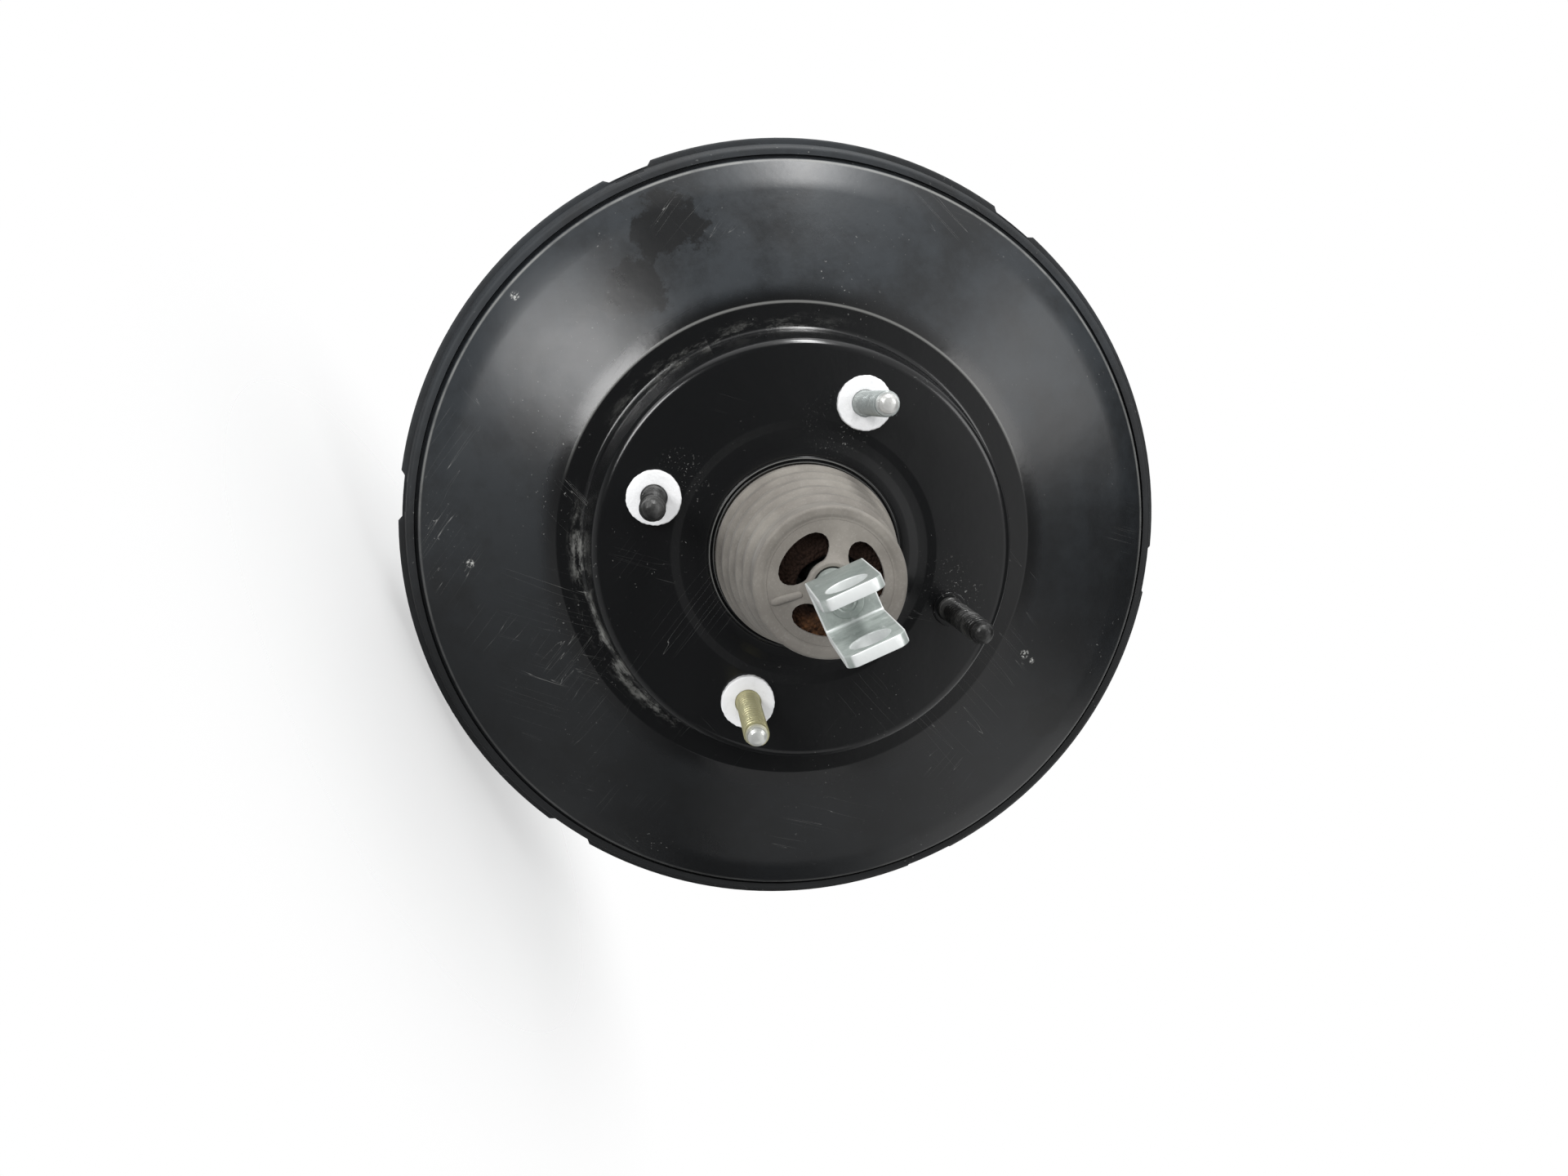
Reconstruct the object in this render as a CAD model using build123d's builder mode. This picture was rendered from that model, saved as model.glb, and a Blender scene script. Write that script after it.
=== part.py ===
"""Single-diaphragm vacuum brake booster, 11 inch class.

Frame: the booster axis is Y. The origin is the centre of the bulkhead mounting face, +Y runs
forward to the master cylinder, -Y runs back to the pedal and +Z is up as the booster is mounted.
Turned and pressed sections are drawn as (radius, station along Y) and revolved about Y.
All sizes are in millimetres.
"""
import os
from math import cos, radians, sin

from build123d import *

os.makedirs("parts", exist_ok=True)

# ---- driving dimensions -------------------------------------------------------------------
# clearances
sliding_gap = 0.3        # between pieces that move past each other
seat_gap = 0.1           # between pieces that are clamped or pressed together
cut_margin = 1.0         # how far a cutting tool runs past the face it opens
stroke_clearance = 2.2   # left between the piston nose and the front shell at full stroke
end_chamfer = 0.8        # on the ends of tubes and rods

# pressed steel shells
sheet = 1.5
neck_bore_radius = 31.0
neck_depth = 24.0
neck_lip_radius = 24.0
neck_to_step = 5.6
step_width = 6.0
step_depth = 0.9
face_radius = 69.9
boss_base_radius = 74.5
boss_height = 26.4
plateau_width = 9.2
shoulder_width = 9.6
shoulder_depth = 41.0
cover_flange_reach = 3.1
dish_edge_depth = 46.6
neck_bend = 2.4
face_bend = 3.2
boss_bend = 2.2
plateau_bend = 2.2
shoulder_bend = 22.0
edge_bend = 2.6

crimp_reach = 2.7
skirt_flare = 3.6
fold_reach = 1.4
crimp_station = 50.5
skirt_length = 13.1
fold_radius = 144.4
fold_thickness = 3.0
wall_step = 4.0
wall_taper = 2.8
wall_length = 25.4
cone_length = 15.8
front_boss_radius = 70.5
pocket_radius = 27.5
pocket_depth = 13.0
pocket_hole_radius = 20.5
front_boss_draft = 3.5
wall_bend = 18.0
front_boss_bend = 4.0
pocket_bend = 2.6

lug_count = 6
lug_width = 18.6
lug_root_width = 15.0
lug_root_depth = 0.2
window_width = 11.0
window_length = 4.0
window_to_fold = 2.0
window_corner = 1.0

# bulkhead studs and their washers
stud_spacing = 75.0
stud_radius = 4.0
stud_length = 45.0
dog_radius = 2.75
dog_length = 3.5
stud_shoulder_chamfer = 1.0
stud_head_radius = 8.0
stud_head_thickness = 2.5
stud_neck_step = 0.3
stud_collar_wall = 1.3
stud_collar_height = 0.8
washer_radius = 9.35
washer_thickness = 3.0
washer_seat_gap = 0.05

# master cylinder side
cylinder_stud_spacing = 82.0
cylinder_stud_length = 24.0
cylinder_stud_head_radius = 5.6
cylinder_stud_head_thickness = 3.4
plate_thickness = 3.0
plate_radius = 60.0
cylinder_nose_radius = 23.0
seal_web = 2.6
seal_inner_lip = 5.0
seal_outer_lip = 5.4

# vacuum check valve
valve_radius_from_axis = 96.0
valve_pad_radius = 15.0
valve_pad_station = 104.0
valve_hole_radius = 8.5
valve_stem_radius = 6.5
stem_tail = 6.0
valve_barrel_radius = 9.5
valve_barrel_wall = 2.0
valve_spring_closed_length = 5.6
nipple_radius = 5.0
nipple_bore_radius = 3.2
nipple_length = 25.0
barb_radius = 6.0
barb_count = 3
valve_disc_radius = 6.0
valve_disc_thickness = 1.6
valve_lift = 1.5

# power piston
piston_stroke = 38.0
tube_radius = 20.0
tube_end = -61.0
hub_radius = 33.0
hub_rear = 31.5
hub_shoulder_radius = 40.0
hub_shoulder_station = 38.2
spring_seat_station = 43.0
spring_locator_radius = 30.5
spring_locator_height = 4.0
nose_radius = 16.5
nose_end = 56.0
nose_cap_thickness = 1.2
nose_cap_skirt = 5.0
chamber_radius = 17.2
chamber_end = -6.0
valve_bore_radius = 14.6
disc_bore_radius = 13.9
bead_step_station = 4.2
valve_floor_station = 18.5
vacuum_seat_radius = 11.4
vacuum_seat_width = 1.6
reaction_bore_radius = 13.2
reaction_bore_station = 44.0
reaction_disc_thickness = 6.7
port_count = 4
port_radius = 1.7
roll_room = 18.3
plate_cone_run = 12.5
diaphragm_plate_rim = 6.0
rubber = 2.0
plate_rim_bend = 2.6
web_bend = 3.0
roll_bend = 4.5
roll_width = 8.0
roll_height = 19.5

# valve plunger, poppet and input rod
plunger_travel = 1.5
poppet_travel = 0.75
ball_station = 19.0
ball_radius = 5.2
plunger_collar_radius = 9.8
plunger_rear = 16.2
plunger_collar_end = 24.4
plunger_shaft_radius = 7.0
plunger_groove_radius = 5.0
plunger_groove_rear = 25.2
plunger_groove_width = 6.0
key_station = 27.0
key_thickness = 2.6
key_width = 16.0
key_reach = 28.0
key_tail = 9.5
poppet_thickness = 2.5
poppet_hole_radius = 8.0
rod_radius = 5.0
rod_neck_radius = 3.6
rod_neck_end = 8.0
rod_shoulder_radius = 7.0
rod_shoulder_length = 3.0
spring_cup_station = -24.0
spring_cup_radius = 13.4
spring_cup_thickness = 1.5

# clevis
clevis_web_station = -92.0
clevis_strap = 3.0
clevis_gap = 11.5
clevis_width = 16.0
clevis_length = 30.0
clevis_pin_radius = 5.1
clevis_pin_offset = 22.3
clevis_inside_bend = 1.0
clevis_ear_corner = 3.2
rivet_radius = 4.0
rivet_head_radius = 5.4
rivet_head_height = 1.3

# boot
boot_end = -63.0
boot_end_radius = 21.9
boot_base_radius = 30.0
boot_wall = 1.5
boot_folds = 4
boot_fold_depth = 1.9
vent_mean_radius = 11.2
vent_width = 8.2
vent_span = 48.0
vent_start_angle = 96.0
vent_count = 3
boot_hub_radius = 7.6
boot_hub_height = 3.2

# springs
return_spring_radius = 33.5
return_spring_wire = 1.6
return_spring_turns = 6
small_spring_wire = 0.5
rod_spring_radius = 11.6
rod_spring_wire = 0.7
small_spring_turns = 5
poppet_spring_radius = 9.0
check_spring_radius = 4.0


# ---- shared drawing helpers ---------------------------------------------------------------
def section(inner_radius, outer_radius, rear, front, mode=Mode.ADD):
    """Rectangle of a turned section between two radii and two stations."""
    with Locations(((inner_radius + outer_radius) / 2, (rear + front) / 2)):
        Rectangle(outer_radius - inner_radius, front - rear, mode=mode)


def across(station, x=0.0, z=0.0):
    """Plane square to the booster axis at a station, looking forward, with its y along Z."""
    return Plane(origin=(x, station, z), x_dir=(-1, 0, 0), z_dir=(0, 1, 0))


def polar(radius, angle):
    """X and Z of a point at a radius and an angle from +X towards +Z."""
    return radius * cos(radians(angle)), radius * sin(radians(angle))


def finish(builder, name):
    """Label a finished piece and write it."""
    builder.part.label = name
    export_step(builder.part, f"parts/{name}.step")


# ---- sizes that follow from the driving ones ----------------------------------------------
skirt_front_radius = fold_radius - fold_reach
skirt_rear_radius = skirt_front_radius - skirt_flare
crimp_radius = skirt_rear_radius - crimp_reach
rim_flange_radius = skirt_rear_radius - sheet
dish_edge_radius = rim_flange_radius - cover_flange_reach
shoulder_radius = dish_edge_radius - shoulder_width
wall_radius = skirt_front_radius - wall_step
wall_front_radius = wall_radius - wall_taper
diaphragm_plate_radius = dish_edge_radius - roll_room
stud_neck_radius = stud_radius + stud_neck_step
stud_hole_radius = stud_neck_radius + seat_gap
stud_collar_radius = stud_hole_radius + stud_collar_wall
nose_cap_front = nose_end + seat_gap + nose_cap_thickness
pocket_inside = nose_cap_front + piston_stroke + stroke_clearance
pocket_end = pocket_inside + sheet
front_face_station = pocket_end + pocket_depth
skirt_end_station = crimp_station + skirt_length
step_inner_radius = neck_bore_radius + neck_to_step
step_outer_radius = step_inner_radius + step_width
plateau_radius = boss_base_radius + plateau_width
fold_station = skirt_end_station - fold_thickness
wall_front_station = skirt_end_station + wall_length
cone_front_station = wall_front_station + cone_length
rim_flange_station = crimp_station + sheet + seat_gap
face_inside = front_face_station - sheet
half_studs = stud_spacing / 2
half_cylinder_studs = cylinder_stud_spacing / 2
clevis_outside = clevis_gap + 2 * clevis_strap
vacuum_seat_station = plunger_rear + poppet_travel
plunger_front = reaction_bore_station - plunger_travel - sliding_gap

# ---- rear shell ---------------------------------------------------------------------------
# Deep-drawn pan: inturned neck, flat bulkhead face, boss wall, dished cover and rim flange.
with BuildPart() as rear_shell:
    with BuildSketch(Plane.XY):
        with BuildLine():
            pressing = FilletPolyline(
                (neck_lip_radius, neck_depth),
                (neck_bore_radius, neck_depth),
                (neck_bore_radius, 0),
                (step_inner_radius - step_depth, 0),
                (step_inner_radius + step_depth, step_depth),
                (step_outer_radius - step_depth, step_depth),
                (step_outer_radius + step_depth, 0),
                (face_radius, 0),
                (boss_base_radius, boss_height),
                (plateau_radius, boss_height),
                (shoulder_radius, shoulder_depth),
                (dish_edge_radius, dish_edge_depth),
                (dish_edge_radius, rim_flange_station),
                (rim_flange_radius, rim_flange_station),
                radius=[0, neck_bend]
                + [0] * 4
                + [face_bend, boss_bend, plateau_bend, shoulder_bend, edge_bend, 0],
            )
            offset(pressing, amount=sheet, side=Side.LEFT, kind=Kind.INTERSECTION)
        make_face()
    revolve(axis=Axis.Y)
    with BuildSketch(across(-stud_collar_height)):
        with GridLocations(stud_spacing, stud_spacing, 2, 2):
            Circle(stud_collar_radius)
    extrude(amount=stud_collar_height + seat_gap)
    with BuildSketch(across(-stud_collar_height)):
        with GridLocations(stud_spacing, stud_spacing, 2, 2):
            Circle(stud_hole_radius)
    extrude(amount=stud_collar_height + sheet + cut_margin, mode=Mode.SUBTRACT)
finish(rear_shell, "rear_shell")

# ---- front shell --------------------------------------------------------------------------
# Drawn bowl with a skirt crimped over the rear shell, a folded lug ring and the cylinder face.
with BuildPart() as front_shell:
    with BuildSketch(Plane.XY):
        with BuildLine():
            bowl = FilletPolyline(
                (crimp_radius, crimp_station),
                (skirt_rear_radius, crimp_station),
                (skirt_front_radius, skirt_end_station),
                (wall_radius, skirt_end_station),
                (wall_front_radius, wall_front_station),
                (front_boss_radius + front_boss_draft, cone_front_station),
                (front_boss_radius, front_face_station),
                (pocket_radius, front_face_station),
                (pocket_radius, pocket_end),
                (pocket_hole_radius, pocket_end),
                radius=[0, 0, 0, wall_bend, 0, front_boss_bend, pocket_bend, 0],
            )
            offset(bowl, amount=sheet, side=Side.LEFT)
        make_face()
        section(skirt_front_radius - sheet, fold_radius, fold_station, skirt_end_station)
    revolve(axis=Axis.Y)
    # turning-lug gaps cut through the folded ring
    with BuildSketch(across(fold_station - cut_margin)):
        with PolarLocations(0, lug_count):
            with BuildLine():
                Polyline(
                    (skirt_front_radius - lug_root_depth, -lug_root_width / 2),
                    (fold_radius + cut_margin, -lug_width / 2 - cut_margin),
                    (fold_radius + cut_margin, lug_width / 2 + cut_margin),
                    (skirt_front_radius - lug_root_depth, lug_root_width / 2),
                    close=True,
                )
            make_face()
    extrude(amount=fold_thickness + cut_margin - sheet / 2, mode=Mode.SUBTRACT)
    # lance windows in the crimped skirt, one below each gap
    window_station = fold_station - window_to_fold - window_length / 2
    for turn in range(lug_count):
        lance_plane = Plane(
            origin=(0, window_station, 0),
            x_dir=(0, 1, 0),
            z_dir=(cos(radians(360 * turn / lug_count)), 0, sin(radians(360 * turn / lug_count))),
        )
        with BuildSketch(lance_plane.offset(crimp_radius)):
            RectangleRounded(window_length, window_width, window_corner)
        extrude(amount=fold_radius - crimp_radius, mode=Mode.SUBTRACT)
    # pad and hole for the vacuum check valve
    with BuildSketch(across(wall_front_station, z=valve_radius_from_axis)):
        Circle(valve_pad_radius)
    extrude(amount=valve_pad_station - wall_front_station)
    with BuildSketch(across(wall_front_station - cut_margin, z=valve_radius_from_axis)):
        Circle(valve_pad_radius - sheet)
    extrude(amount=valve_pad_station - sheet - wall_front_station + cut_margin, mode=Mode.SUBTRACT)
    with BuildSketch(across(valve_pad_station - sheet - cut_margin, z=valve_radius_from_axis)):
        Circle(valve_hole_radius)
    extrude(amount=sheet + 2 * cut_margin, mode=Mode.SUBTRACT)
    # clearance holes for the two master cylinder studs
    with BuildSketch(across(face_inside - cut_margin)):
        with GridLocations(cylinder_stud_spacing, 0, 2, 1):
            Circle(stud_hole_radius)
    extrude(amount=sheet + 2 * cut_margin, mode=Mode.SUBTRACT)
finish(front_shell, "front_shell")

# ---- bulkhead studs -----------------------------------------------------------------------
# Each stud is pressed through the mounting face from inside, its head against the sheet. Its
# plain neck fills the hole and the washer, and its thread starts at the washer's outer face.
def bulkhead_stud():
    """Section of one stud about its own axis, with the mounting face at station 0."""
    section(0, stud_head_radius, sheet + seat_gap, sheet + seat_gap + stud_head_thickness)
    section(0, stud_neck_radius, -washer_thickness, sheet + seat_gap)
    section(0, stud_radius, dog_length - stud_length, -washer_thickness)
    Polygon(
        (0, -stud_length),
        (dog_radius - end_chamfer, -stud_length),
        (dog_radius, end_chamfer - stud_length),
        (dog_radius, dog_length - stud_length - stud_shoulder_chamfer),
        (stud_radius, dog_length - stud_length),
        (0, dog_length - stud_length),
        align=None,
    )


for name, places in (
    ("bulkhead_studs_black", [(half_studs, half_studs), (-half_studs, -half_studs)]),
    ("bulkhead_stud_zinc", [(-half_studs, half_studs)]),
    ("bulkhead_stud_yellow", [(half_studs, -half_studs)]),
):
    with BuildPart() as studs:
        for x, z in places:
            with BuildSketch(Plane(origin=(x, 0, z), x_dir=(1, 0, 0), z_dir=(0, 0, 1))):
                bulkhead_stud()
            revolve(axis=Axis((x, 0, z), (0, 1, 0)))
    finish(studs, name)

# ---- stud washers -------------------------------------------------------------------------
# Soft sealing washers, counterbored where they sit over the collar raised round each hole.
with BuildPart() as stud_washers:
    for x, z in ((-half_studs, half_studs), (-half_studs, -half_studs), (half_studs, -half_studs)):
        with BuildSketch(across(-washer_thickness, x, z)):
            Circle(washer_radius)
            Circle(stud_hole_radius, mode=Mode.SUBTRACT)
        extrude(amount=washer_thickness - washer_seat_gap)
        with BuildSketch(across(-stud_collar_height - seat_gap, x, z)):
            Circle(stud_collar_radius + seat_gap)
        extrude(amount=stud_collar_height + cut_margin, mode=Mode.SUBTRACT)
finish(stud_washers, "stud_washers")

# ---- neck seal, bearing and retainer ------------------------------------------------------
# They lie in the inturned neck from front to back: lip seal, guide bearing, retaining ring.
slide_radius = tube_radius + sliding_gap
neck_fit_radius = neck_bore_radius - seat_gap
seal_front = neck_depth - seat_gap
seal_length = 9.0
bearing_length = 6.0
retainer_thickness = 1.2
seal_lip = 1.6
seal_chamfer = 1.4
seal_groove = 4.6
bearing_flange = 1.0
bearing_wall = 3.0
seal_rear = seal_front - seal_length
bearing_front = seal_rear - seat_gap
bearing_rear = bearing_front - bearing_length
neck_retainer_front = bearing_rear - seat_gap
neck_retainer_rear = neck_retainer_front - retainer_thickness

with BuildPart() as neck_seal:
    with BuildSketch(Plane.XY):
        with BuildLine():
            Polyline(
                (neck_lip_radius + seal_chamfer, seal_front),
                (neck_fit_radius - seal_chamfer, seal_front),
                (neck_fit_radius, seal_front - seal_chamfer),
                (neck_fit_radius, seal_rear),
                (slide_radius + seal_lip, seal_rear),
                (slide_radius, seal_rear + seal_lip),
                (slide_radius + seal_lip / 2, seal_rear + 2 * seal_lip),
                (slide_radius, seal_front - seal_lip),
                (slide_radius + seal_lip, seal_front - seal_lip / 2),
                (neck_lip_radius - seal_chamfer, seal_front - seal_groove),
                close=True,
            )
        make_face()
    revolve(axis=Axis.Y)
finish(neck_seal, "neck_seal")

with BuildPart() as neck_bearing:
    with BuildSketch(Plane.XY):
        section(slide_radius, neck_fit_radius, bearing_rear, bearing_front)
        section(
            slide_radius + bearing_wall,
            neck_fit_radius - bearing_wall,
            bearing_rear - cut_margin,
            bearing_front - 2 * bearing_flange,
            Mode.SUBTRACT,
        )
    revolve(axis=Axis.Y)
finish(neck_bearing, "neck_bearing")

with BuildPart() as neck_retainer:
    with BuildSketch(Plane.XY):
        section(
            slide_radius + bearing_wall + bearing_flange,
            neck_fit_radius,
            neck_retainer_rear,
            neck_retainer_front,
        )
    revolve(axis=Axis.Y)
finish(neck_retainer, "neck_retainer")

# ---- rubber boot --------------------------------------------------------------------------
# Bellows from a bead held in the neck to an end cap with three vents round the input rod.
boot_bead_front = neck_retainer_rear - seat_gap
boot_first_fold = -7.0
boot_last_fold = -50.0
boot_tail_step = 6.0
boot_valley = 0.35       # share of the pitch from a crest back to the root of the next fold
boot_bead = 4.5
boot_bead_step = 1.0
boot_pitch = (boot_first_fold - boot_last_fold) / (boot_folds - 1)
boot_taper = (boot_base_radius - boot_end_radius) / (boot_first_fold - boot_end)


def boot_radius(station):
    """Outer radius of the tapering boot at a fold crest."""
    return boot_base_radius - boot_taper * (boot_first_fold - station)


with BuildPart() as boot:
    with BuildSketch(Plane.XY):
        with BuildLine():
            corners = [(neck_fit_radius, boot_bead_front - boot_bead_step), (neck_fit_radius, boot_bead_step)]
            for fold in range(boot_folds):
                crest = boot_first_fold - fold * boot_pitch
                corners.append((boot_radius(crest), crest))
                valley = crest - boot_pitch * boot_valley
                if fold < boot_folds - 1:
                    corners.append((boot_radius(valley) - boot_fold_depth, valley))
            corners.append((boot_end_radius, boot_last_fold - boot_tail_step))
            corners.append((boot_end_radius, boot_end))
            corners.append((boot_hub_radius, boot_end))
            corners.append((boot_hub_radius, boot_end - boot_hub_height))
            bellows = Polyline(*corners)
            offset(bellows, amount=boot_wall, side=Side.RIGHT, kind=Kind.INTERSECTION)
        make_face()
        section(neck_fit_radius - boot_bead, neck_fit_radius, boot_bead_front - boot_bead, boot_bead_front)
    revolve(axis=Axis.Y)
    vent_plane = across(boot_end - cut_margin)
    with BuildSketch(vent_plane):
        with PolarLocations(0, vent_count, start_angle=vent_start_angle):
            SlotArc(
                CenterArc((0, 0), vent_mean_radius, -vent_span / 2, vent_span),
                vent_width,
            )
    extrude(amount=boot_wall + 2 * cut_margin, mode=Mode.SUBTRACT)
finish(boot, "boot")

# ---- diaphragm ----------------------------------------------------------------------------
# Moulded rubber: rim bead clamped under the crimp, rolling fold, web over the plate, hub bead.
plate_rear = hub_shoulder_station - seat_gap - sheet
plate_flat_radius = 50.0
plate_cone_radius = diaphragm_plate_radius - plate_cone_run
plate_rim_station = 46.5
web_overhang = 1.4
roll_radius = diaphragm_plate_radius + roll_width
roll_station = plate_rim_station + roll_height
hub_bead_width = 5.0
hub_bead_depth = 3.5
rim_bead_step = 1.2
skirt_slope = (skirt_front_radius - skirt_rear_radius) / skirt_length
bead_rear = rim_flange_station + sheet + 2 * seat_gap
bead_front = skirt_end_station - sheet - seat_gap
bead_inner_radius = dish_edge_radius - sheet + sliding_gap


def skirt_inside(station):
    """Inner radius of the tapering skirt at a station, less the clamping gap."""
    return skirt_rear_radius + skirt_slope * (station - crimp_station) - 1.1 * sheet - seat_gap


with BuildPart() as diaphragm:
    with BuildSketch(Plane.XY):
        with BuildLine():
            web = FilletPolyline(
                (hub_radius + seat_gap, plate_rear - seat_gap),
                (plate_flat_radius, plate_rear - seat_gap),
                (plate_cone_radius, plate_rim_station - seat_gap),
                (diaphragm_plate_radius + sliding_gap + web_overhang, plate_rim_station - seat_gap),
                (roll_radius, roll_station),
                (bead_inner_radius, (bead_rear + bead_front) / 2),
                (bead_inner_radius + rubber, (bead_rear + bead_front) / 2),
                radius=[0, 0, web_bend, roll_bend, 0],
            )
            offset(web, amount=rubber, side=Side.RIGHT, kind=Kind.INTERSECTION)
        make_face()
        Polygon(
            (bead_inner_radius, bead_rear),
            (skirt_inside(bead_rear), bead_rear),
            (skirt_inside(bead_front - rim_bead_step), bead_front - rim_bead_step),
            (skirt_inside(bead_front - rim_bead_step) - rim_bead_step, bead_front),
            (bead_inner_radius, bead_front),
            align=None,
        )
        section(
            hub_radius + seat_gap,
            hub_radius + hub_bead_width,
            plate_rear - seat_gap - hub_bead_depth,
            plate_rear - seat_gap,
        )
    revolve(axis=Axis.Y)
finish(diaphragm, "diaphragm")

# ---- front reinforcement plate, master cylinder studs and seal ----------------------------
# The plate stiffens the cylinder face from inside and takes the heads of the two studs.
plate_front = face_inside - seat_gap
plate_back = plate_front - plate_thickness

with BuildPart() as reinforcement_plate:
    with BuildSketch(across(plate_back)):
        Circle(plate_radius)
        Circle(pocket_radius + 2 * sheet, mode=Mode.SUBTRACT)
        with GridLocations(cylinder_stud_spacing, 0, 2, 1):
            Circle(stud_hole_radius, mode=Mode.SUBTRACT)
    extrude(amount=plate_thickness)
finish(reinforcement_plate, "front_reinforcement_plate")

with BuildPart() as cylinder_studs:
    head_front = plate_back - seat_gap
    stud_end = front_face_station + cylinder_stud_length
    for x in (-half_cylinder_studs, half_cylinder_studs):
        with BuildSketch(Plane(origin=(x, 0, 0), x_dir=(1, 0, 0), z_dir=(0, 0, 1))):
            section(0, cylinder_stud_head_radius, head_front - cylinder_stud_head_thickness, head_front)
            Polygon(
                (0, head_front),
                (stud_neck_radius, head_front),
                (stud_neck_radius, front_face_station),
                (stud_radius, front_face_station),
                (stud_radius, stud_end - end_chamfer),
                (stud_radius - end_chamfer, stud_end),
                (0, stud_end),
                align=None,
            )
        revolve(axis=Axis((x, 0, 0), (0, 1, 0)))
finish(cylinder_studs, "master_cylinder_studs")

with BuildPart() as cylinder_seal:
    seal_base = pocket_end + seat_gap
    seal_outside = pocket_radius - seat_gap
    inner_lip_top = seal_base + seal_inner_lip
    outer_lip_top = seal_base + seal_outer_lip
    with BuildSketch(Plane.XY):
        Polygon(
            (cylinder_nose_radius + end_chamfer, seal_base),
            (seal_outside - seal_lip, seal_base),
            (seal_outside, seal_base + seal_lip),
            (seal_outside, outer_lip_top),
            (seal_outside - seal_lip / 2, outer_lip_top),
            (seal_outside - seal_lip, seal_base + seal_web),
            (cylinder_nose_radius + seal_lip, seal_base + seal_web),
            (cylinder_nose_radius + seal_lip / 4, inner_lip_top),
            (cylinder_nose_radius - seal_lip / 4, inner_lip_top),
            align=None,
        )
    revolve(axis=Axis.Y)
finish(cylinder_seal, "master_cylinder_seal")

# ---- vacuum check valve -------------------------------------------------------------------
# Plastic elbow pushed through a rubber grommet, with a spring-loaded disc on its seat inside.
valve_axis = Axis((0, 0, valve_radius_from_axis), (0, 1, 0))
valve_section_plane = Plane(origin=(0, 0, valve_radius_from_axis), x_dir=(1, 0, 0), z_dir=(0, 0, 1))
pad_inside = valve_pad_station - sheet
grommet_bore_radius = valve_stem_radius + seat_gap
grommet_flange = 3.0
grommet_tail = 4.0
grommet_taper = 0.8
grommet_front = valve_pad_station + grommet_flange
valve_barrel_length = (
    2 * valve_barrel_wall + sliding_gap + valve_disc_thickness + valve_lift + valve_spring_closed_length
)
barrel_rear = grommet_front + seat_gap
barrel_front = barrel_rear + valve_barrel_length
valve_seat_station = barrel_rear + valve_barrel_wall
valve_cap_inside = barrel_front - valve_barrel_wall
nipple_to_cap = 0.6
nipple_station = valve_cap_inside - nipple_to_cap - nipple_bore_radius
stem_rear = pad_inside - stem_tail
stem_hook = 1.7
valve_disc_rear = valve_seat_station + sliding_gap
valve_disc_front = valve_disc_rear + valve_disc_thickness

with BuildPart() as check_valve_grommet:
    with BuildSketch(valve_section_plane):
        Polygon(
            (grommet_bore_radius, pad_inside - grommet_tail),
            (valve_hole_radius, pad_inside - grommet_tail),
            (valve_hole_radius + 3 * grommet_taper, pad_inside - seat_gap),
            (valve_hole_radius - seat_gap, pad_inside - seat_gap),
            (valve_hole_radius - seat_gap, valve_pad_station + seat_gap),
            (valve_hole_radius + grommet_tail, valve_pad_station + seat_gap),
            (valve_hole_radius + grommet_tail - grommet_taper, grommet_front),
            (grommet_bore_radius, grommet_front),
            align=None,
        )
    revolve(axis=valve_axis)
finish(check_valve_grommet, "check_valve_grommet")

with BuildPart() as check_valve_body:
    with BuildSketch(valve_section_plane):
        section(0, valve_stem_radius, stem_rear, barrel_rear)
        section(0, valve_barrel_radius, barrel_rear, barrel_front)
        section(valve_stem_radius, valve_stem_radius + stem_hook, stem_rear, stem_rear + stem_hook)
    revolve(axis=valve_axis)
    nipple_base = Plane(
        origin=(0, nipple_station, valve_radius_from_axis), x_dir=(1, 0, 0), z_dir=(0, 0, 1)
    )
    with BuildSketch(nipple_base):
        Circle(nipple_radius)
    extrude(amount=valve_barrel_radius + nipple_length)
    barb_pitch = nipple_length / (barb_count + 1.5)
    barb_taper = barb_pitch * 0.7
    for barb in range(barb_count):
        barb_height = valve_barrel_radius + nipple_length - barb * barb_pitch
        with BuildSketch(nipple_base.offset(barb_height - barb_taper)):
            Circle(barb_radius)
        with BuildSketch(nipple_base.offset(barb_height)):
            Circle(nipple_radius - seat_gap)
        loft()
    with BuildSketch(valve_section_plane):
        section(0, nipple_bore_radius, stem_rear - cut_margin, valve_seat_station + cut_margin)
        section(0, valve_barrel_radius - valve_barrel_wall, valve_seat_station, valve_cap_inside)
    revolve(axis=valve_axis, mode=Mode.SUBTRACT)
    with BuildSketch(nipple_base):
        Circle(nipple_bore_radius)
    extrude(amount=valve_barrel_radius + nipple_length + cut_margin, mode=Mode.SUBTRACT)
finish(check_valve_body, "check_valve_body")

with BuildPart() as check_valve_disc:
    with BuildSketch(valve_section_plane):
        section(0, valve_disc_radius, valve_disc_rear, valve_disc_front)
    revolve(axis=valve_axis)
finish(check_valve_disc, "check_valve_disc")

# ---- valve body ---------------------------------------------------------------------------
# Moulded power piston hub: tail tube, hub for the plate, spring seat, nose and valve chambers.
slot_rear = key_station - sliding_gap
slot_front = key_station + key_thickness + sliding_gap
collar_bore_radius = vacuum_seat_radius - vacuum_seat_width / 2
locator_wall = 3.0
hub_floor = hub_rear + 4.0
locator_draft = 0.6
port_foot_radius = (collar_bore_radius + vacuum_seat_width + disc_bore_radius) / 2
port_head_radius = (nose_radius + spring_locator_radius) / 2 - 2.0
port_overrun = 0.12      # share of its length that a port's tool runs past each end
rib_width = 2.0
rib_bite = 0.4

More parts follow.
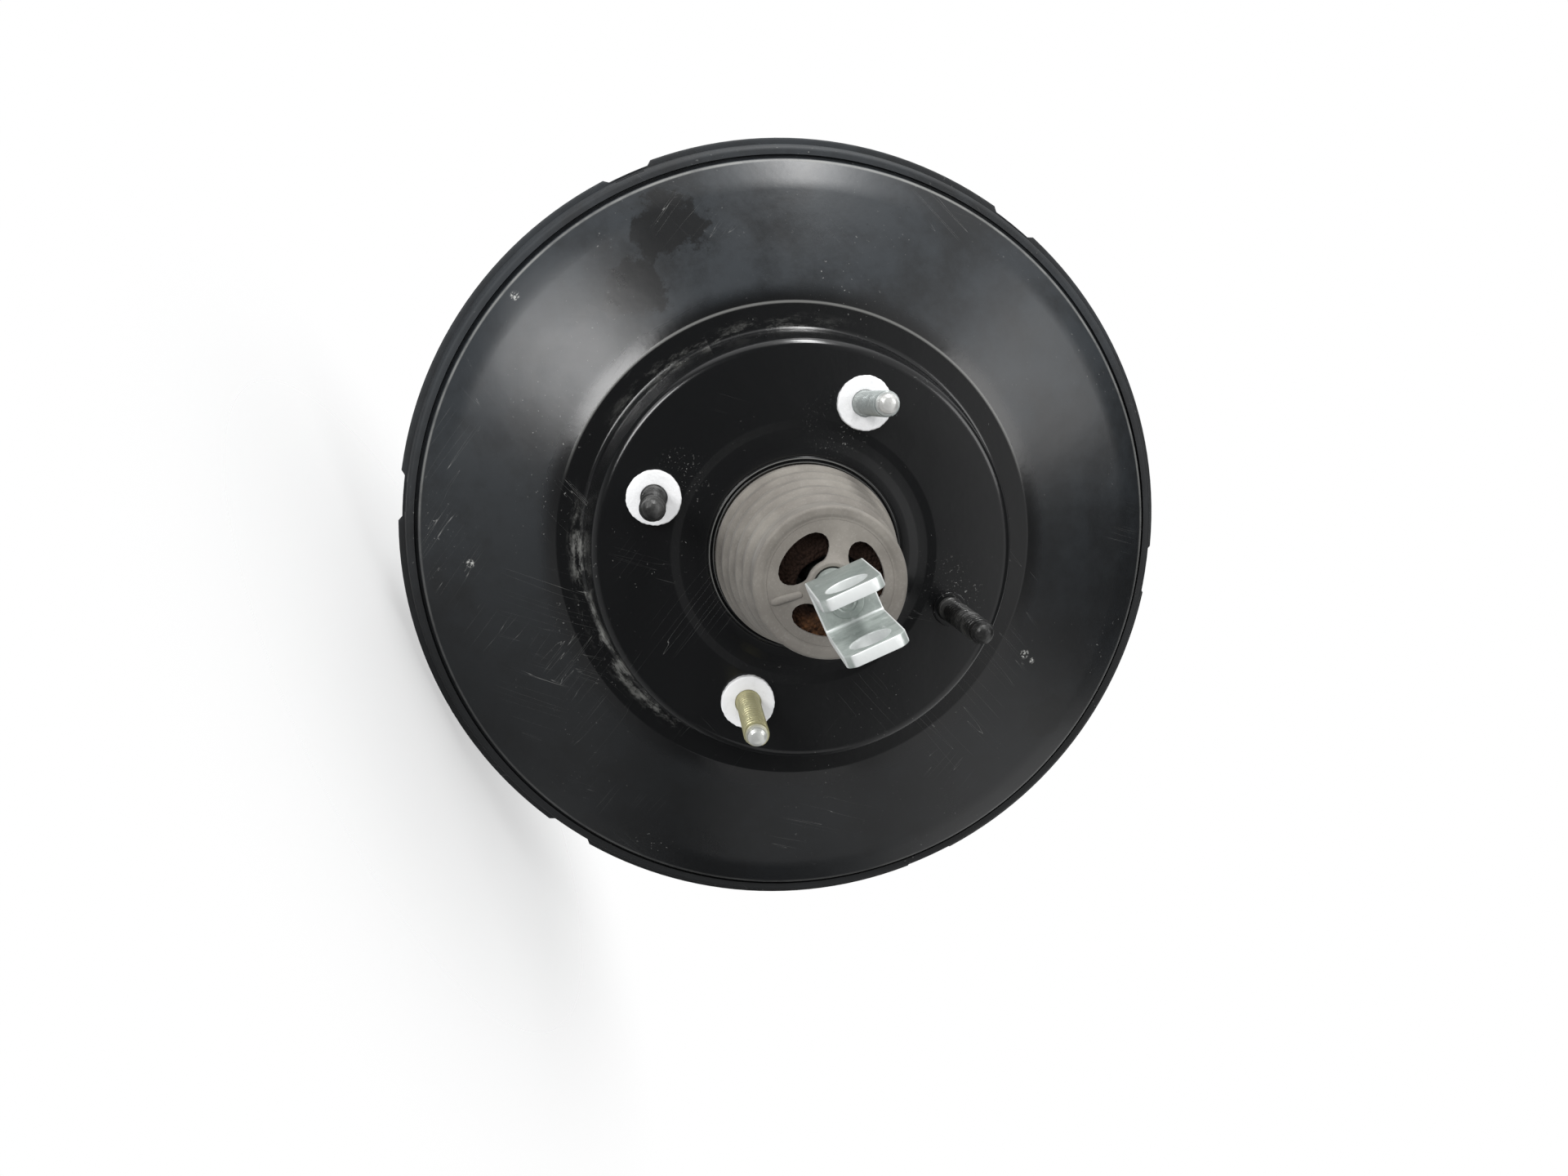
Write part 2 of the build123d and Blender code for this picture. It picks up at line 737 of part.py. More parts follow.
with BuildPart() as valve_body:
    with BuildSketch(Plane.XY):
        Polygon(
            (chamber_radius, tube_end),
            (tube_radius - end_chamfer, tube_end),
            (tube_radius, tube_end + end_chamfer),
            (tube_radius, hub_rear),
            (hub_radius, hub_rear),
            (hub_radius, hub_shoulder_station),
            (hub_shoulder_radius, hub_shoulder_station),
            (hub_shoulder_radius, spring_seat_station),
            (spring_locator_radius, spring_seat_station),
            (spring_locator_radius - locator_draft, spring_seat_station + spring_locator_height),
            (spring_locator_radius - locator_wall, spring_seat_station + spring_locator_height),
            (spring_locator_radius - locator_wall - locator_draft, hub_floor),
            (nose_radius, hub_floor),
            (nose_radius, nose_end),
            (reaction_bore_radius, nose_end),
            (reaction_bore_radius, reaction_bore_station),
            (plunger_shaft_radius + sliding_gap, reaction_bore_station),
            (plunger_shaft_radius + sliding_gap, slot_front),
            (collar_bore_radius, slot_front),
            (collar_bore_radius, vacuum_seat_station),
            (collar_bore_radius + vacuum_seat_width, vacuum_seat_station),
            (collar_bore_radius + vacuum_seat_width, valve_floor_station),
            (disc_bore_radius, valve_floor_station),
            (disc_bore_radius, bead_step_station),
            (valve_bore_radius, bead_step_station),
            (valve_bore_radius, chamber_end),
            (chamber_radius, chamber_end),
            align=None,
        )
    revolve(axis=Axis.Y)
    # vacuum ports slant from the valve floor out to the front of the hub
    for port in range(port_count):
        turn = 45 + 360 * port / port_count
        foot_x, foot_z = polar(port_foot_radius, turn)
        head_x, head_z = polar(port_head_radius, turn)
        rise = hub_floor - valve_floor_station
        port_axis = Vector(head_x - foot_x, rise, head_z - foot_z)
        start = Vector(foot_x, valve_floor_station, foot_z) - port_axis * port_overrun
        with BuildSketch(Plane(origin=start, z_dir=port_axis)):
            Circle(port_radius)
        extrude(amount=port_axis.length * (1 + 2 * port_overrun), mode=Mode.SUBTRACT)
    # stiffening ribs between the nose and the spring locator
    for rib in range(port_count):
        rib_x, rib_z = polar(1.0, 360 * rib / port_count)
        rib_plane = Plane(origin=(0, hub_floor, 0), x_dir=(rib_x, 0, rib_z), z_dir=(0, 1, 0))
        with BuildSketch(rib_plane):
            with Locations(((nose_radius + spring_locator_radius - locator_wall) / 2, 0)):
                Rectangle(spring_locator_radius - locator_wall - nose_radius + 2 * rib_bite, rib_width)
        extrude(amount=spring_seat_station - hub_floor)
    # slot for the plunger key, open on the upper side
    with BuildSketch(across(slot_rear)):
        with Locations((0, (key_reach - key_tail - sliding_gap) / 2)):
            Rectangle(key_width + 2 * sliding_gap, key_reach + key_tail + sliding_gap)
    extrude(amount=slot_front - slot_rear, mode=Mode.SUBTRACT)
finish(valve_body, "valve_body")

# ---- diaphragm plate and its retainer -----------------------------------------------------
with BuildPart() as diaphragm_plate:
    with BuildSketch(Plane.XY):
        with BuildLine():
            dish = FilletPolyline(
                (hub_radius + seat_gap, plate_rear),
                (plate_flat_radius, plate_rear),
                (plate_cone_radius, plate_rim_station),
                (diaphragm_plate_radius, plate_rim_station),
                (diaphragm_plate_radius, plate_rim_station + diaphragm_plate_rim),
                radius=[0, 0, plate_rim_bend],
            )
            offset(dish, amount=sheet, side=Side.LEFT, kind=Kind.INTERSECTION)
        make_face()
    revolve(axis=Axis.Y)
finish(diaphragm_plate, "diaphragm_plate")

with BuildPart() as plate_retainer:
    with BuildSketch(Plane.XY):
        section(
            hub_radius + seat_gap,
            hub_radius + hub_bead_width,
            hub_rear + 2 * seat_gap,
            plate_rear - 2 * seat_gap - hub_bead_depth,
        )
    revolve(axis=Axis.Y)
finish(plate_retainer, "plate_retainer")

# ---- reaction disc, output rod, its tip screw and retaining cap ---------------------------
reaction_rear = reaction_bore_station + seat_gap
reaction_front = reaction_rear + reaction_disc_thickness
rod_head_rear = reaction_front + seat_gap
rod_head_front = rod_head_rear + 3.5
rod_head_fillet = 2.0
output_rod_radius = 6.0
output_rod_front = 104.0
tip_thread_radius = 3.0
tip_depth = 12.0
tip_hex_size = 4.6
tip_hex_length = 5.0
tip_length = 13.0
tip_radius = 4.0

with BuildPart() as reaction_disc:
    with BuildSketch(Plane.XY):
        section(0, reaction_bore_radius - sliding_gap, reaction_rear, reaction_front)
    revolve(axis=Axis.Y)
finish(reaction_disc, "reaction_disc")

with BuildPart() as output_rod:
    with BuildSketch(Plane.XY):
        Polygon(
            (0, rod_head_rear),
            (reaction_bore_radius - sliding_gap, rod_head_rear),
            (reaction_bore_radius - sliding_gap, rod_head_front),
            (output_rod_radius + rod_head_fillet, rod_head_front),
            (output_rod_radius, rod_head_front + 2 * rod_head_fillet),
            (output_rod_radius, output_rod_front - end_chamfer),
            (output_rod_radius - end_chamfer, output_rod_front),
            (tip_thread_radius + seat_gap, output_rod_front),
            (tip_thread_radius + seat_gap, output_rod_front - tip_depth),
            (0, output_rod_front - tip_depth),
            align=None,
        )
    revolve(axis=Axis.Y)
finish(output_rod, "output_rod")

with BuildPart() as output_rod_tip:
    with BuildSketch(Plane.XY):
        section(0, tip_thread_radius, output_rod_front - tip_depth + seat_gap, output_rod_front + seat_gap)
        section(0, tip_radius, output_rod_front + seat_gap, output_rod_front + tip_length - tip_radius)
    revolve(axis=Axis.Y)
    with Locations((0, output_rod_front + tip_length - tip_radius, 0)):
        Sphere(tip_radius)
    with BuildSketch(across(output_rod_front + seat_gap)):
        RegularPolygon(tip_hex_size, 6)
    extrude(amount=tip_hex_length)
finish(output_rod_tip, "output_rod_tip")

with BuildPart() as output_rod_retainer:
    with BuildSketch(Plane.XY):
        section(
            output_rod_radius + rod_head_fillet + sliding_gap,
            nose_radius + seat_gap + nose_cap_thickness,
            nose_end + seat_gap,
            nose_cap_front,
        )
        section(
            nose_radius + seat_gap,
            nose_radius + seat_gap + nose_cap_thickness,
            nose_end - nose_cap_skirt,
            nose_cap_front,
        )
    revolve(axis=Axis.Y)
finish(output_rod_retainer, "output_rod_retainer")

# ---- valve plunger and its key ------------------------------------------------------------
socket_radius = ball_radius + sliding_gap

with BuildPart() as valve_plunger:
    with BuildSketch(Plane.XY):
        section(0, plunger_collar_radius, plunger_rear, plunger_collar_end)
        section(0, plunger_shaft_radius, plunger_collar_end, plunger_groove_rear)
        section(0, plunger_groove_radius, plunger_groove_rear, plunger_groove_rear + plunger_groove_width)
        section(0, plunger_shaft_radius, plunger_groove_rear + plunger_groove_width, plunger_front)
    revolve(axis=Axis.Y)
    with Locations((0, ball_station, 0)):
        Sphere(socket_radius, mode=Mode.SUBTRACT)
finish(valve_plunger, "valve_plunger")

with BuildPart() as plunger_key:
    key_gap = plunger_groove_radius + sliding_gap
    with BuildSketch(across(key_station)):
        with Locations((0, (key_reach - key_tail) / 2)):
            Rectangle(key_width, key_reach + key_tail)
        Circle(key_gap, mode=Mode.SUBTRACT)
        with Locations((0, -key_tail / 2 - cut_margin)):
            Rectangle(2 * key_gap, key_tail + 2 * cut_margin, mode=Mode.SUBTRACT)
    extrude(amount=key_thickness)
finish(plunger_key, "plunger_key")

# ---- poppet: sealing disc, flexible sleeve and retainer -----------------------------------
poppet_front = plunger_rear - sliding_gap
poppet_rear = poppet_front - poppet_thickness
bead_length = 2.9
retainer_front = bead_step_station - seat_gap - bead_length - seat_gap
bead_width = 2.8
retainer_lip = 1.2
retainer_wall = 1.0
poppet_lip = 1.8
poppet_lip_width = 2.2
sleeve_wall = 1.0
sleeve_clearance = 0.6

with BuildPart() as poppet_disc:
    with BuildSketch(Plane.XY):
        section(poppet_hole_radius, disc_bore_radius - sliding_gap, poppet_rear, poppet_front)
        section(poppet_hole_radius, poppet_hole_radius + poppet_lip_width, poppet_rear - poppet_lip, poppet_rear)
    revolve(axis=Axis.Y)
finish(poppet_disc, "poppet_disc")

with BuildPart() as poppet_sleeve:
    with BuildSketch(Plane.XY):
        section(
            valve_bore_radius - bead_width,
            valve_bore_radius - seat_gap,
            retainer_front + seat_gap,
            bead_step_station - seat_gap,
        )
        section(
            disc_bore_radius - sleeve_clearance - sleeve_wall,
            disc_bore_radius - sleeve_clearance,
            retainer_front + seat_gap,
            poppet_rear - seat_gap,
        )
    revolve(axis=Axis.Y)
finish(poppet_sleeve, "poppet_sleeve")

with BuildPart() as poppet_retainer:
    flange_front = chamber_end - seat_gap
    flange_rear = flange_front - retainer_lip
    retainer_outside = valve_bore_radius - seat_gap
    with BuildSketch(Plane.XY):
        section(retainer_outside - retainer_wall, chamber_radius - 2 * seat_gap, flange_rear, flange_front)
        section(retainer_outside - retainer_wall, retainer_outside, flange_rear, retainer_front)
        section(
            retainer_outside - retainer_wall - bead_width,
            retainer_outside,
            retainer_front - retainer_lip,
            retainer_front,
        )
    revolve(axis=Axis.Y)
finish(poppet_retainer, "poppet_retainer")

# ---- air filter and silencer --------------------------------------------------------------
filter_rear = tube_end + 4 * seat_gap
filter_length = 15.0
silencer_length = 6.0
filter_hole_radius = rod_radius + 2.0

for name, rear, length in (
    ("air_filter", filter_rear, filter_length),
    ("filter_silencer", filter_rear + filter_length + seat_gap, silencer_length),
):
    with BuildPart() as filter_ring:
        with BuildSketch(Plane.XY):
            section(filter_hole_radius, chamber_radius - 2 * seat_gap, rear, rear + length)
        revolve(axis=Axis.Y)
    finish(filter_ring, name)

# ---- input rod and spring cup -------------------------------------------------------------
# Cold-headed rod: ball in the plunger, shoulder and tenon peened over inside the clevis web.
web_front = clevis_web_station + clevis_strap
ridge_height = 1.0
ridge_slope = 0.8
ridge_length = 1.5
cup_collar = 0.8
rivet_seat_gap = 0.05
tenon_dimple = 1.2
ridge_front = spring_cup_station - spring_cup_thickness - cup_collar - ridge_slope - seat_gap
ridge_rear = ridge_front - ridge_length
rod_shoulder_rear = web_front + rivet_seat_gap

with BuildPart() as input_rod:
    with BuildSketch(Plane.XY):
        Polygon(
            (0, ball_station),
            (rod_neck_radius, ball_station),
            (rod_neck_radius, rod_neck_end),
            (rod_radius, rod_neck_end - 2 * (rod_radius - rod_neck_radius)),
            (rod_radius, ridge_front + ridge_slope),
            (rod_radius + ridge_height, ridge_front),
            (rod_radius + ridge_height, ridge_rear),
            (rod_radius, ridge_rear - ridge_slope),
            (rod_radius, rod_shoulder_rear + rod_shoulder_length + rod_shoulder_radius - rod_radius),
            (rod_shoulder_radius, rod_shoulder_rear + rod_shoulder_length),
            (rod_shoulder_radius, rod_shoulder_rear),
            (rivet_radius, rod_shoulder_rear),
            (rivet_radius, clevis_web_station - rivet_seat_gap),
            (rivet_head_radius, clevis_web_station - rivet_seat_gap),
            (rivet_head_radius, clevis_web_station - rivet_head_height / 2),
            (rivet_head_radius - tenon_dimple, clevis_web_station - rivet_head_height),
            (tenon_dimple, clevis_web_station - rivet_head_height),
            (0, clevis_web_station - rivet_head_height / 2),
            align=None,
        )
    revolve(axis=Axis.Y)
    with Locations((0, ball_station, 0)):
        Sphere(ball_radius)
finish(input_rod, "input_rod")

with BuildPart() as spring_cup:
    cup_rear = spring_cup_station - spring_cup_thickness
    with BuildSketch(Plane.XY):
        section(rod_radius + seat_gap, spring_cup_radius, cup_rear, spring_cup_station)
        section(rod_radius + seat_gap, rod_radius + spring_cup_thickness, cup_rear - cup_collar, cup_rear)
        section(
            spring_cup_radius - ridge_height,
            spring_cup_radius,
            spring_cup_station,
            spring_cup_station + spring_cup_thickness,
        )
    revolve(axis=Axis.Y)
finish(spring_cup, "spring_cup")

# ---- clevis -------------------------------------------------------------------------------
# Fork folded from plated strap, pin hole through both ears, tenon hole in the web.
with BuildPart() as clevis:
    clevis_end = clevis_web_station - clevis_length
    with BuildSketch(Plane.XY):
        with BuildLine():
            fork = FilletPolyline(
                (clevis_outside / 2, clevis_end),
                (clevis_outside / 2, web_front),
                (-clevis_outside / 2, web_front),
                (-clevis_outside / 2, clevis_end),
                radius=clevis_strap + clevis_inside_bend,
            )
            offset(fork, amount=clevis_strap, side=Side.LEFT)
        make_face()
    extrude(amount=clevis_width / 2, both=True)
    ear_corners = clevis.edges().filter_by(Axis.X).group_by(Axis.Y)[0]
    fillet(ear_corners, radius=clevis_ear_corner)
    with BuildSketch(Plane(origin=(-clevis_outside, 0, 0), x_dir=(0, 1, 0), z_dir=(1, 0, 0))):
        with Locations((clevis_web_station - clevis_pin_offset, 0)):
            Circle(clevis_pin_radius)
    extrude(amount=2 * clevis_outside, mode=Mode.SUBTRACT)
    with BuildSketch(across(clevis_web_station - cut_margin)):
        Circle(rivet_radius + seat_gap)
    extrude(amount=clevis_strap + 2 * cut_margin, mode=Mode.SUBTRACT)
finish(clevis, "clevis")


# ---- coil springs -------------------------------------------------------------------------
# Wire coils with closed end turns, drawn as short straight runs of square or hexagonal wire.
runs_per_turn = 12


def coil_path(mean_radius, wire, turns, rear, front, z):
    """Corner points of a coil about Y, with its first and last turn lying closed."""
    runs = turns * runs_per_turn
    closed_pitch = 2 * wire + seat_gap
    open_pitch = (front - rear - 2 * wire - 2 * closed_pitch) / (turns - 2)
    station = rear + wire
    points = []
    for run in range(runs + 1):
        around, along = polar(mean_radius, 360 * run / runs_per_turn)
        points.append((around, station, z + along))
        in_end_turn = run < runs_per_turn or run >= runs - runs_per_turn
        station += (closed_pitch if in_end_turn else open_pitch) / runs_per_turn
    return points


for name, mean_radius, wire, sides, turns, rear, front, z in (
    ("return_spring", return_spring_radius, return_spring_wire, 6, return_spring_turns,
     spring_seat_station, plate_back, 0),
    ("rod_spring", rod_spring_radius, rod_spring_wire, 4, small_spring_turns,
     spring_cup_station, retainer_front - retainer_lip, 0),
    ("poppet_spring", poppet_spring_radius, small_spring_wire, 4, small_spring_turns,
     spring_cup_station, poppet_rear - poppet_lip, 0),
    ("check_valve_spring", check_spring_radius, small_spring_wire, 4, small_spring_turns,
     valve_disc_front, valve_cap_inside, valve_radius_from_axis),
):
    with BuildPart() as spring:
        with BuildLine():
            coil = Polyline(*coil_path(mean_radius, wire, turns, rear + seat_gap, front - seat_gap, z))
        with BuildSketch(Plane(origin=coil @ 0, x_dir=(0, 1, 0), z_dir=coil % 0)):
            RegularPolygon(wire, sides)
        sweep(transition=Transition.RIGHT)
    finish(spring, name)
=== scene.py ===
from math import atan2, ceil, cos, degrees, hypot, pi, radians, sin, tan

import bmesh
import bpy
from mathutils import Matrix, Vector


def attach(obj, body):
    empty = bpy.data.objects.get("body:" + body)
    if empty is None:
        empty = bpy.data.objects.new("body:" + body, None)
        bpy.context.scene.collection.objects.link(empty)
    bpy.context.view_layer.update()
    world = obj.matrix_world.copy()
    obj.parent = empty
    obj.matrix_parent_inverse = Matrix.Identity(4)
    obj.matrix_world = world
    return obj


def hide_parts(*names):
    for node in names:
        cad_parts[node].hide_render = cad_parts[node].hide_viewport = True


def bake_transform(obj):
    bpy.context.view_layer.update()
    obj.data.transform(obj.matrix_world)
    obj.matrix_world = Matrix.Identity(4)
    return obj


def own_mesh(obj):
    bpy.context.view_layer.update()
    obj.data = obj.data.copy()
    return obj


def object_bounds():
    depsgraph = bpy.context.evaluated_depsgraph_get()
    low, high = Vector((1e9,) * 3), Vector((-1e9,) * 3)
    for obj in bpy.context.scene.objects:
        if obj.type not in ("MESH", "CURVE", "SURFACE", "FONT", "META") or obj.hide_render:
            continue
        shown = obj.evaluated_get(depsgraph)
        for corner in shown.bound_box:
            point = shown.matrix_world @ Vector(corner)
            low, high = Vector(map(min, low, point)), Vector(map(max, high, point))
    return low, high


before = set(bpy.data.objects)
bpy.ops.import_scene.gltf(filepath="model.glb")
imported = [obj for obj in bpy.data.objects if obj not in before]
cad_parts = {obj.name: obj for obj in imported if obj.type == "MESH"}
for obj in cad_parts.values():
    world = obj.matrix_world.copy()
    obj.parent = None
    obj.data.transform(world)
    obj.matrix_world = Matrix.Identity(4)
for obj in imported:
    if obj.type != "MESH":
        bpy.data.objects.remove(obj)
cad_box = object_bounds()
mm = 0.001

# ---- rear shell ---------------------------------------------------------------------------
# The pan on the pedal side: 1.5 mm steel drawn in several strokes, with a rolled neck for the
# boot, a flat bulkhead face ringed by a fine step, a deep boss wall and a shallow dished cover.
# It is dip painted semi-gloss black, and the cover carries a film of shop dust wiped by hands,
# painted lighter towards the top of the view; pale lines on its bends and beads are painted highlights.
sheet = 1.5
neck_radius = 31.0
boss_corner_radius = 74.5
plateau_radius = 83.7
cover_edge_radius = 134.8
boss_foot = 26.4
cover_rim = 52.1
rear_corners = (
    (24.0, 24.0, 0.0),
    (neck_radius, 24.0, 2.2),
    (neck_radius, 0.0, 2.4),
    (35.2, 0.0, 5.0),
    (38.2, 0.35, 5.0),
    (41.4, 0.35, 5.0),
    (44.4, 0.0, 5.0),
    (69.9, 0.0, 3.2),
    (boss_corner_radius, boss_foot, 2.2),
    (plateau_radius, boss_foot, 2.4),
    (125.2, 41.0, 26.0),
    (cover_edge_radius, 46.6, 2.6),
    (cover_edge_radius, cover_rim, 2.0),
    (137.9, cover_rim, 0.0),
)


def rounded(corners):
    """Outline through (radius, station, bend) corners, each bend drawn as an arc."""
    step = radians(9.0)
    line = []
    count = len(corners)
    for place, (radius, station, bend) in enumerate(corners):
        here = Vector((radius, station))
        if bend == 0.0:
            line.append((radius, station))
            continue
        before = Vector(corners[place - 1][:2]) - here
        after = Vector(corners[(place + 1) % count][:2]) - here
        half = before.angle(after) / 2
        reach = min(bend / tan(half), 0.48 * before.length, 0.48 * after.length)
        bend = reach * tan(half)
        centre = here + (before.normalized() + after.normalized()).normalized() * bend / sin(half)
        start = here + before.normalized() * reach - centre
        sweep = start.angle_signed(here + after.normalized() * reach - centre)
        pieces = max(2, ceil(abs(sweep) / step))
        for piece in range(pieces + 1):
            spoke = start.copy()
            spoke.rotate(Matrix.Rotation(-sweep * piece / pieces, 2))
            line.append(tuple(centre + spoke))
    return line


def sheet_section(corners, thickness):
    """Closed section of a pressed sheet, laid to the left of the line through its corners."""
    inner = []
    last = len(corners) - 1
    for place, (radius, station, bend) in enumerate(corners):
        here = Vector((radius, station))
        ahead = Vector(corners[min(place + 1, last)][:2]) - here
        behind = here - Vector(corners[max(place - 1, 0)][:2])
        ahead = ahead.normalized() if ahead.length else behind.normalized()
        behind = behind.normalized() if behind.length else ahead
        left = Vector((-(ahead.y + behind.y), ahead.x + behind.x)).normalized()
        spread = thickness / max(0.3, left.dot(Vector((-ahead.y, ahead.x))))
        turn = behind.x * ahead.y - behind.y * ahead.x
        inside_bend = max(0.25, bend - thickness) if turn > 0 else bend + thickness
        inner.append((*(here + left * spread), inside_bend if bend else 0.0))
    return rounded(corners) + rounded(inner)[::-1]


def placed(name, data):
    """A new object in the scene."""
    piece = bpy.data.objects.new(name, data)
    bpy.context.scene.collection.objects.link(piece)
    return piece


def smooth_shaded(piece, sharp=radians(38.0)):
    """Smooth shading that keeps the real edges."""
    piece.data.polygons.foreach_set("use_smooth", [True] * len(piece.data.polygons))
    piece.data.set_sharp_from_angle(angle=sharp)
    return piece


def piece_of(name, verts, faces):
    """A closed mesh piece with its doubles merged and its faces outward."""
    mesh = bpy.data.meshes.new(name)
    mesh.from_pydata([tuple(c * mm for c in vert) for vert in verts], [], faces)
    shape = bmesh.new()
    shape.from_mesh(mesh)
    bmesh.ops.remove_doubles(shape, verts=shape.verts, dist=1e-7)
    bmesh.ops.dissolve_degenerate(shape, edges=shape.edges, dist=1e-7)
    bmesh.ops.recalc_face_normals(shape, faces=shape.faces)
    shape.to_mesh(mesh)
    shape.free()
    return smooth_shaded(placed(name, mesh))


def band_faces(rows, count, closed=False):
    """Quads between rows of points, the last row joined to the first if asked."""
    faces = []
    for row in range(rows if closed else rows - 1):
        here, there = row * count, (row + 1) % rows * count
        for edge in range(count):
            following = (edge + 1) % count
            faces.append((here + edge, here + following, there + following, there + edge))
    return faces


def turned(name, section, angles=None, around=192, centre=(0.0, 0.0), radius_at=None):
    """A closed (radius, station) section turned about an axis parallel to Y."""
    angles = angles or [360.0 * step / around for step in range(around)]
    verts = []
    for angle in angles:
        across, high = cos(radians(angle)), sin(radians(angle))
        for radius, station in section:
            if radius_at:
                radius = radius_at(radius, station, angle)
            verts.append((centre[0] + radius * across, station, centre[1] + radius * high))
    return piece_of(name, verts, band_faces(len(angles), len(section), closed=True))


def joined(pieces):
    """Several pieces as one mesh, under the first one's name."""
    shape = bmesh.new()
    for piece in pieces:
        shape.from_mesh(piece.data)
    shape.to_mesh(pieces[0].data)
    shape.free()
    for piece in pieces[1:]:
        bpy.data.objects.remove(piece)
    return smooth_shaded(pieces[0])


def is_socket(value):
    """True for a node's output, False for a plain value."""
    return isinstance(value, bpy.types.NodeSocket)


def wired(tree, node, inputs):
    """A node with its sockets set or linked."""
    for socket, value in inputs.items():
        if is_socket(value):
            tree.links.new(value, node.inputs[socket])
        else:
            node.inputs[socket].default_value = value
    return node


def add(tree, kind, inputs=None, **settings):
    """One node with its settings made and its sockets set or linked."""
    made = tree.nodes.new(kind)
    for setting, value in settings.items():
        setattr(made, setting, value)
    return wired(tree, made, inputs or {})


def figure(tree, operation, first, second=0.0, third=0.0):
    """A math node's result."""
    sockets = {0: first, 1: second, 2: third}
    return add(tree, "ShaderNodeMath", sockets, operation=operation).outputs[0]


def times(tree, first, *others):
    """The product of several values."""
    for other in others:
        first = figure(tree, "MULTIPLY", first, other)
    return first


def scaled(tree, value, by, shift):
    """A value multiplied and then shifted."""
    return figure(tree, "MULTIPLY_ADD", value, by, shift)


def largest(tree, first, *others):
    """The largest of several values."""
    for other in others:
        first = figure(tree, "MAXIMUM", first, other)
    return first


def span(tree, across, along):
    """Length of a line from its two legs."""
    return figure(tree, "SQRT", figure(tree, "ADD", times(tree, across, across), times(tree, along, along)))


def graded(tree, value, low, high, start=0.0, end=1.0):
    """A value eased from start at low to end at high."""
    sockets = {"Value": value, "From Min": low, "From Max": high, "To Min": start, "To Max": end}
    return add(tree, "ShaderNodeMapRange", sockets, interpolation_type="SMOOTHSTEP").outputs["Result"]


def band(tree, value, low, rise, fall, high):
    """1 from rise to fall, in mm, easing to 0 at low and at high."""
    rising = graded(tree, value, low * mm, rise * mm)
    return times(tree, rising, graded(tree, value, high * mm, fall * mm))


def mixed(tree, share, first, second):
    """A colour between two."""
    first, second = (colour if is_socket(colour) else (*colour, 1.0) for colour in (first, second))
    return add(tree, "ShaderNodeMix", {0: share, 6: first, 7: second}, data_type="RGBA").outputs[2]


def cloud(tree, place, scale, detail=4.0, rough=0.55, stretch=None):
    """Noise on the piece's own coordinates, per metre, stretched where a pattern runs one way."""
    if stretch:
        place = add(tree, "ShaderNodeMapping", {"Vector": place, "Scale": stretch}).outputs[0]
    sockets = {"Vector": place, "Scale": scale, "Detail": detail, "Roughness": rough}
    return add(tree, "ShaderNodeTexNoise", sockets).outputs["Fac"]


def new_finish(name):
    """An empty finish: its node tree, shader, object coordinates and their parts."""
    finish = bpy.data.materials.new(name)
    finish.use_nodes = True
    tree = finish.node_tree
    shader = tree.nodes["Principled BSDF"]
    place = add(tree, "ShaderNodeTexCoord").outputs["Object"]
    parts = add(tree, "ShaderNodeSeparateXYZ", {0: place}).outputs
    return finish, tree, shader, place, parts


def bumped(tree, shader, height, depth, distance=0.001):
    """Relief of a given depth, in metres, under the shader's surface."""
    relief = add(tree, "ShaderNodeBump", {"Height": height, "Strength": depth, "Distance": distance})
    tree.links.new(relief.outputs[0], shader.inputs["Normal"])


def spot(tree, parts, x, z, wide, soft):
    """1 inside a round patch of the cover about (x, z) mm, easing to 0 over its soft rim."""
    across = figure(tree, "SUBTRACT", parts["X"], x * mm)
    along = figure(tree, "SUBTRACT", parts["Z"], z * mm)
    return graded(tree, span(tree, across, along), (wide + soft) * mm, wide * mm)


def dust_film_with_painted_light(tree, place, parts, radius, high):
    """A thin film of dust on the cover, wiped away in ragged patches where it was handled, and graded as painted light:
    lighter towards the top of the view, darker towards the bottom.
    """
    blotches = graded(tree, cloud(tree, place, 19.0, 9.0, 0.72), 0.38, 0.62)
    hands = ((-118.0, 3.0, 2.0, 21.0), (-103.0, -16.0, 2.0, 18.0), (103.0, 60.0, 1.0, 15.0))
    wiped = largest(tree, *[spot(tree, parts, *hand) for hand in hands])
    torn_edge = scaled(tree, cloud(tree, place, 62.0, 8.0, 0.75), 2.6, -1.3)
    wiped = figure(tree, "ADD", wiped, torn_edge)
    wiped = graded(tree, times(tree, wiped, graded(tree, wiped, 0.1, 0.3)), 0.42, 0.62)
    wiped = times(tree, wiped, graded(tree, parts["Y"], 54.0 * mm, 52.5 * mm), 0.92)
    on_cover = graded(tree, radius, 84.5 * mm, 92.0 * mm)
    # painted light: the film is graded by high, lighter towards the top of the view
    film = times(tree, on_cover, scaled(tree, blotches, 0.72, 0.28), high)
    return on_cover, times(tree, film, figure(tree, "SUBTRACT", 1.0, wiped))


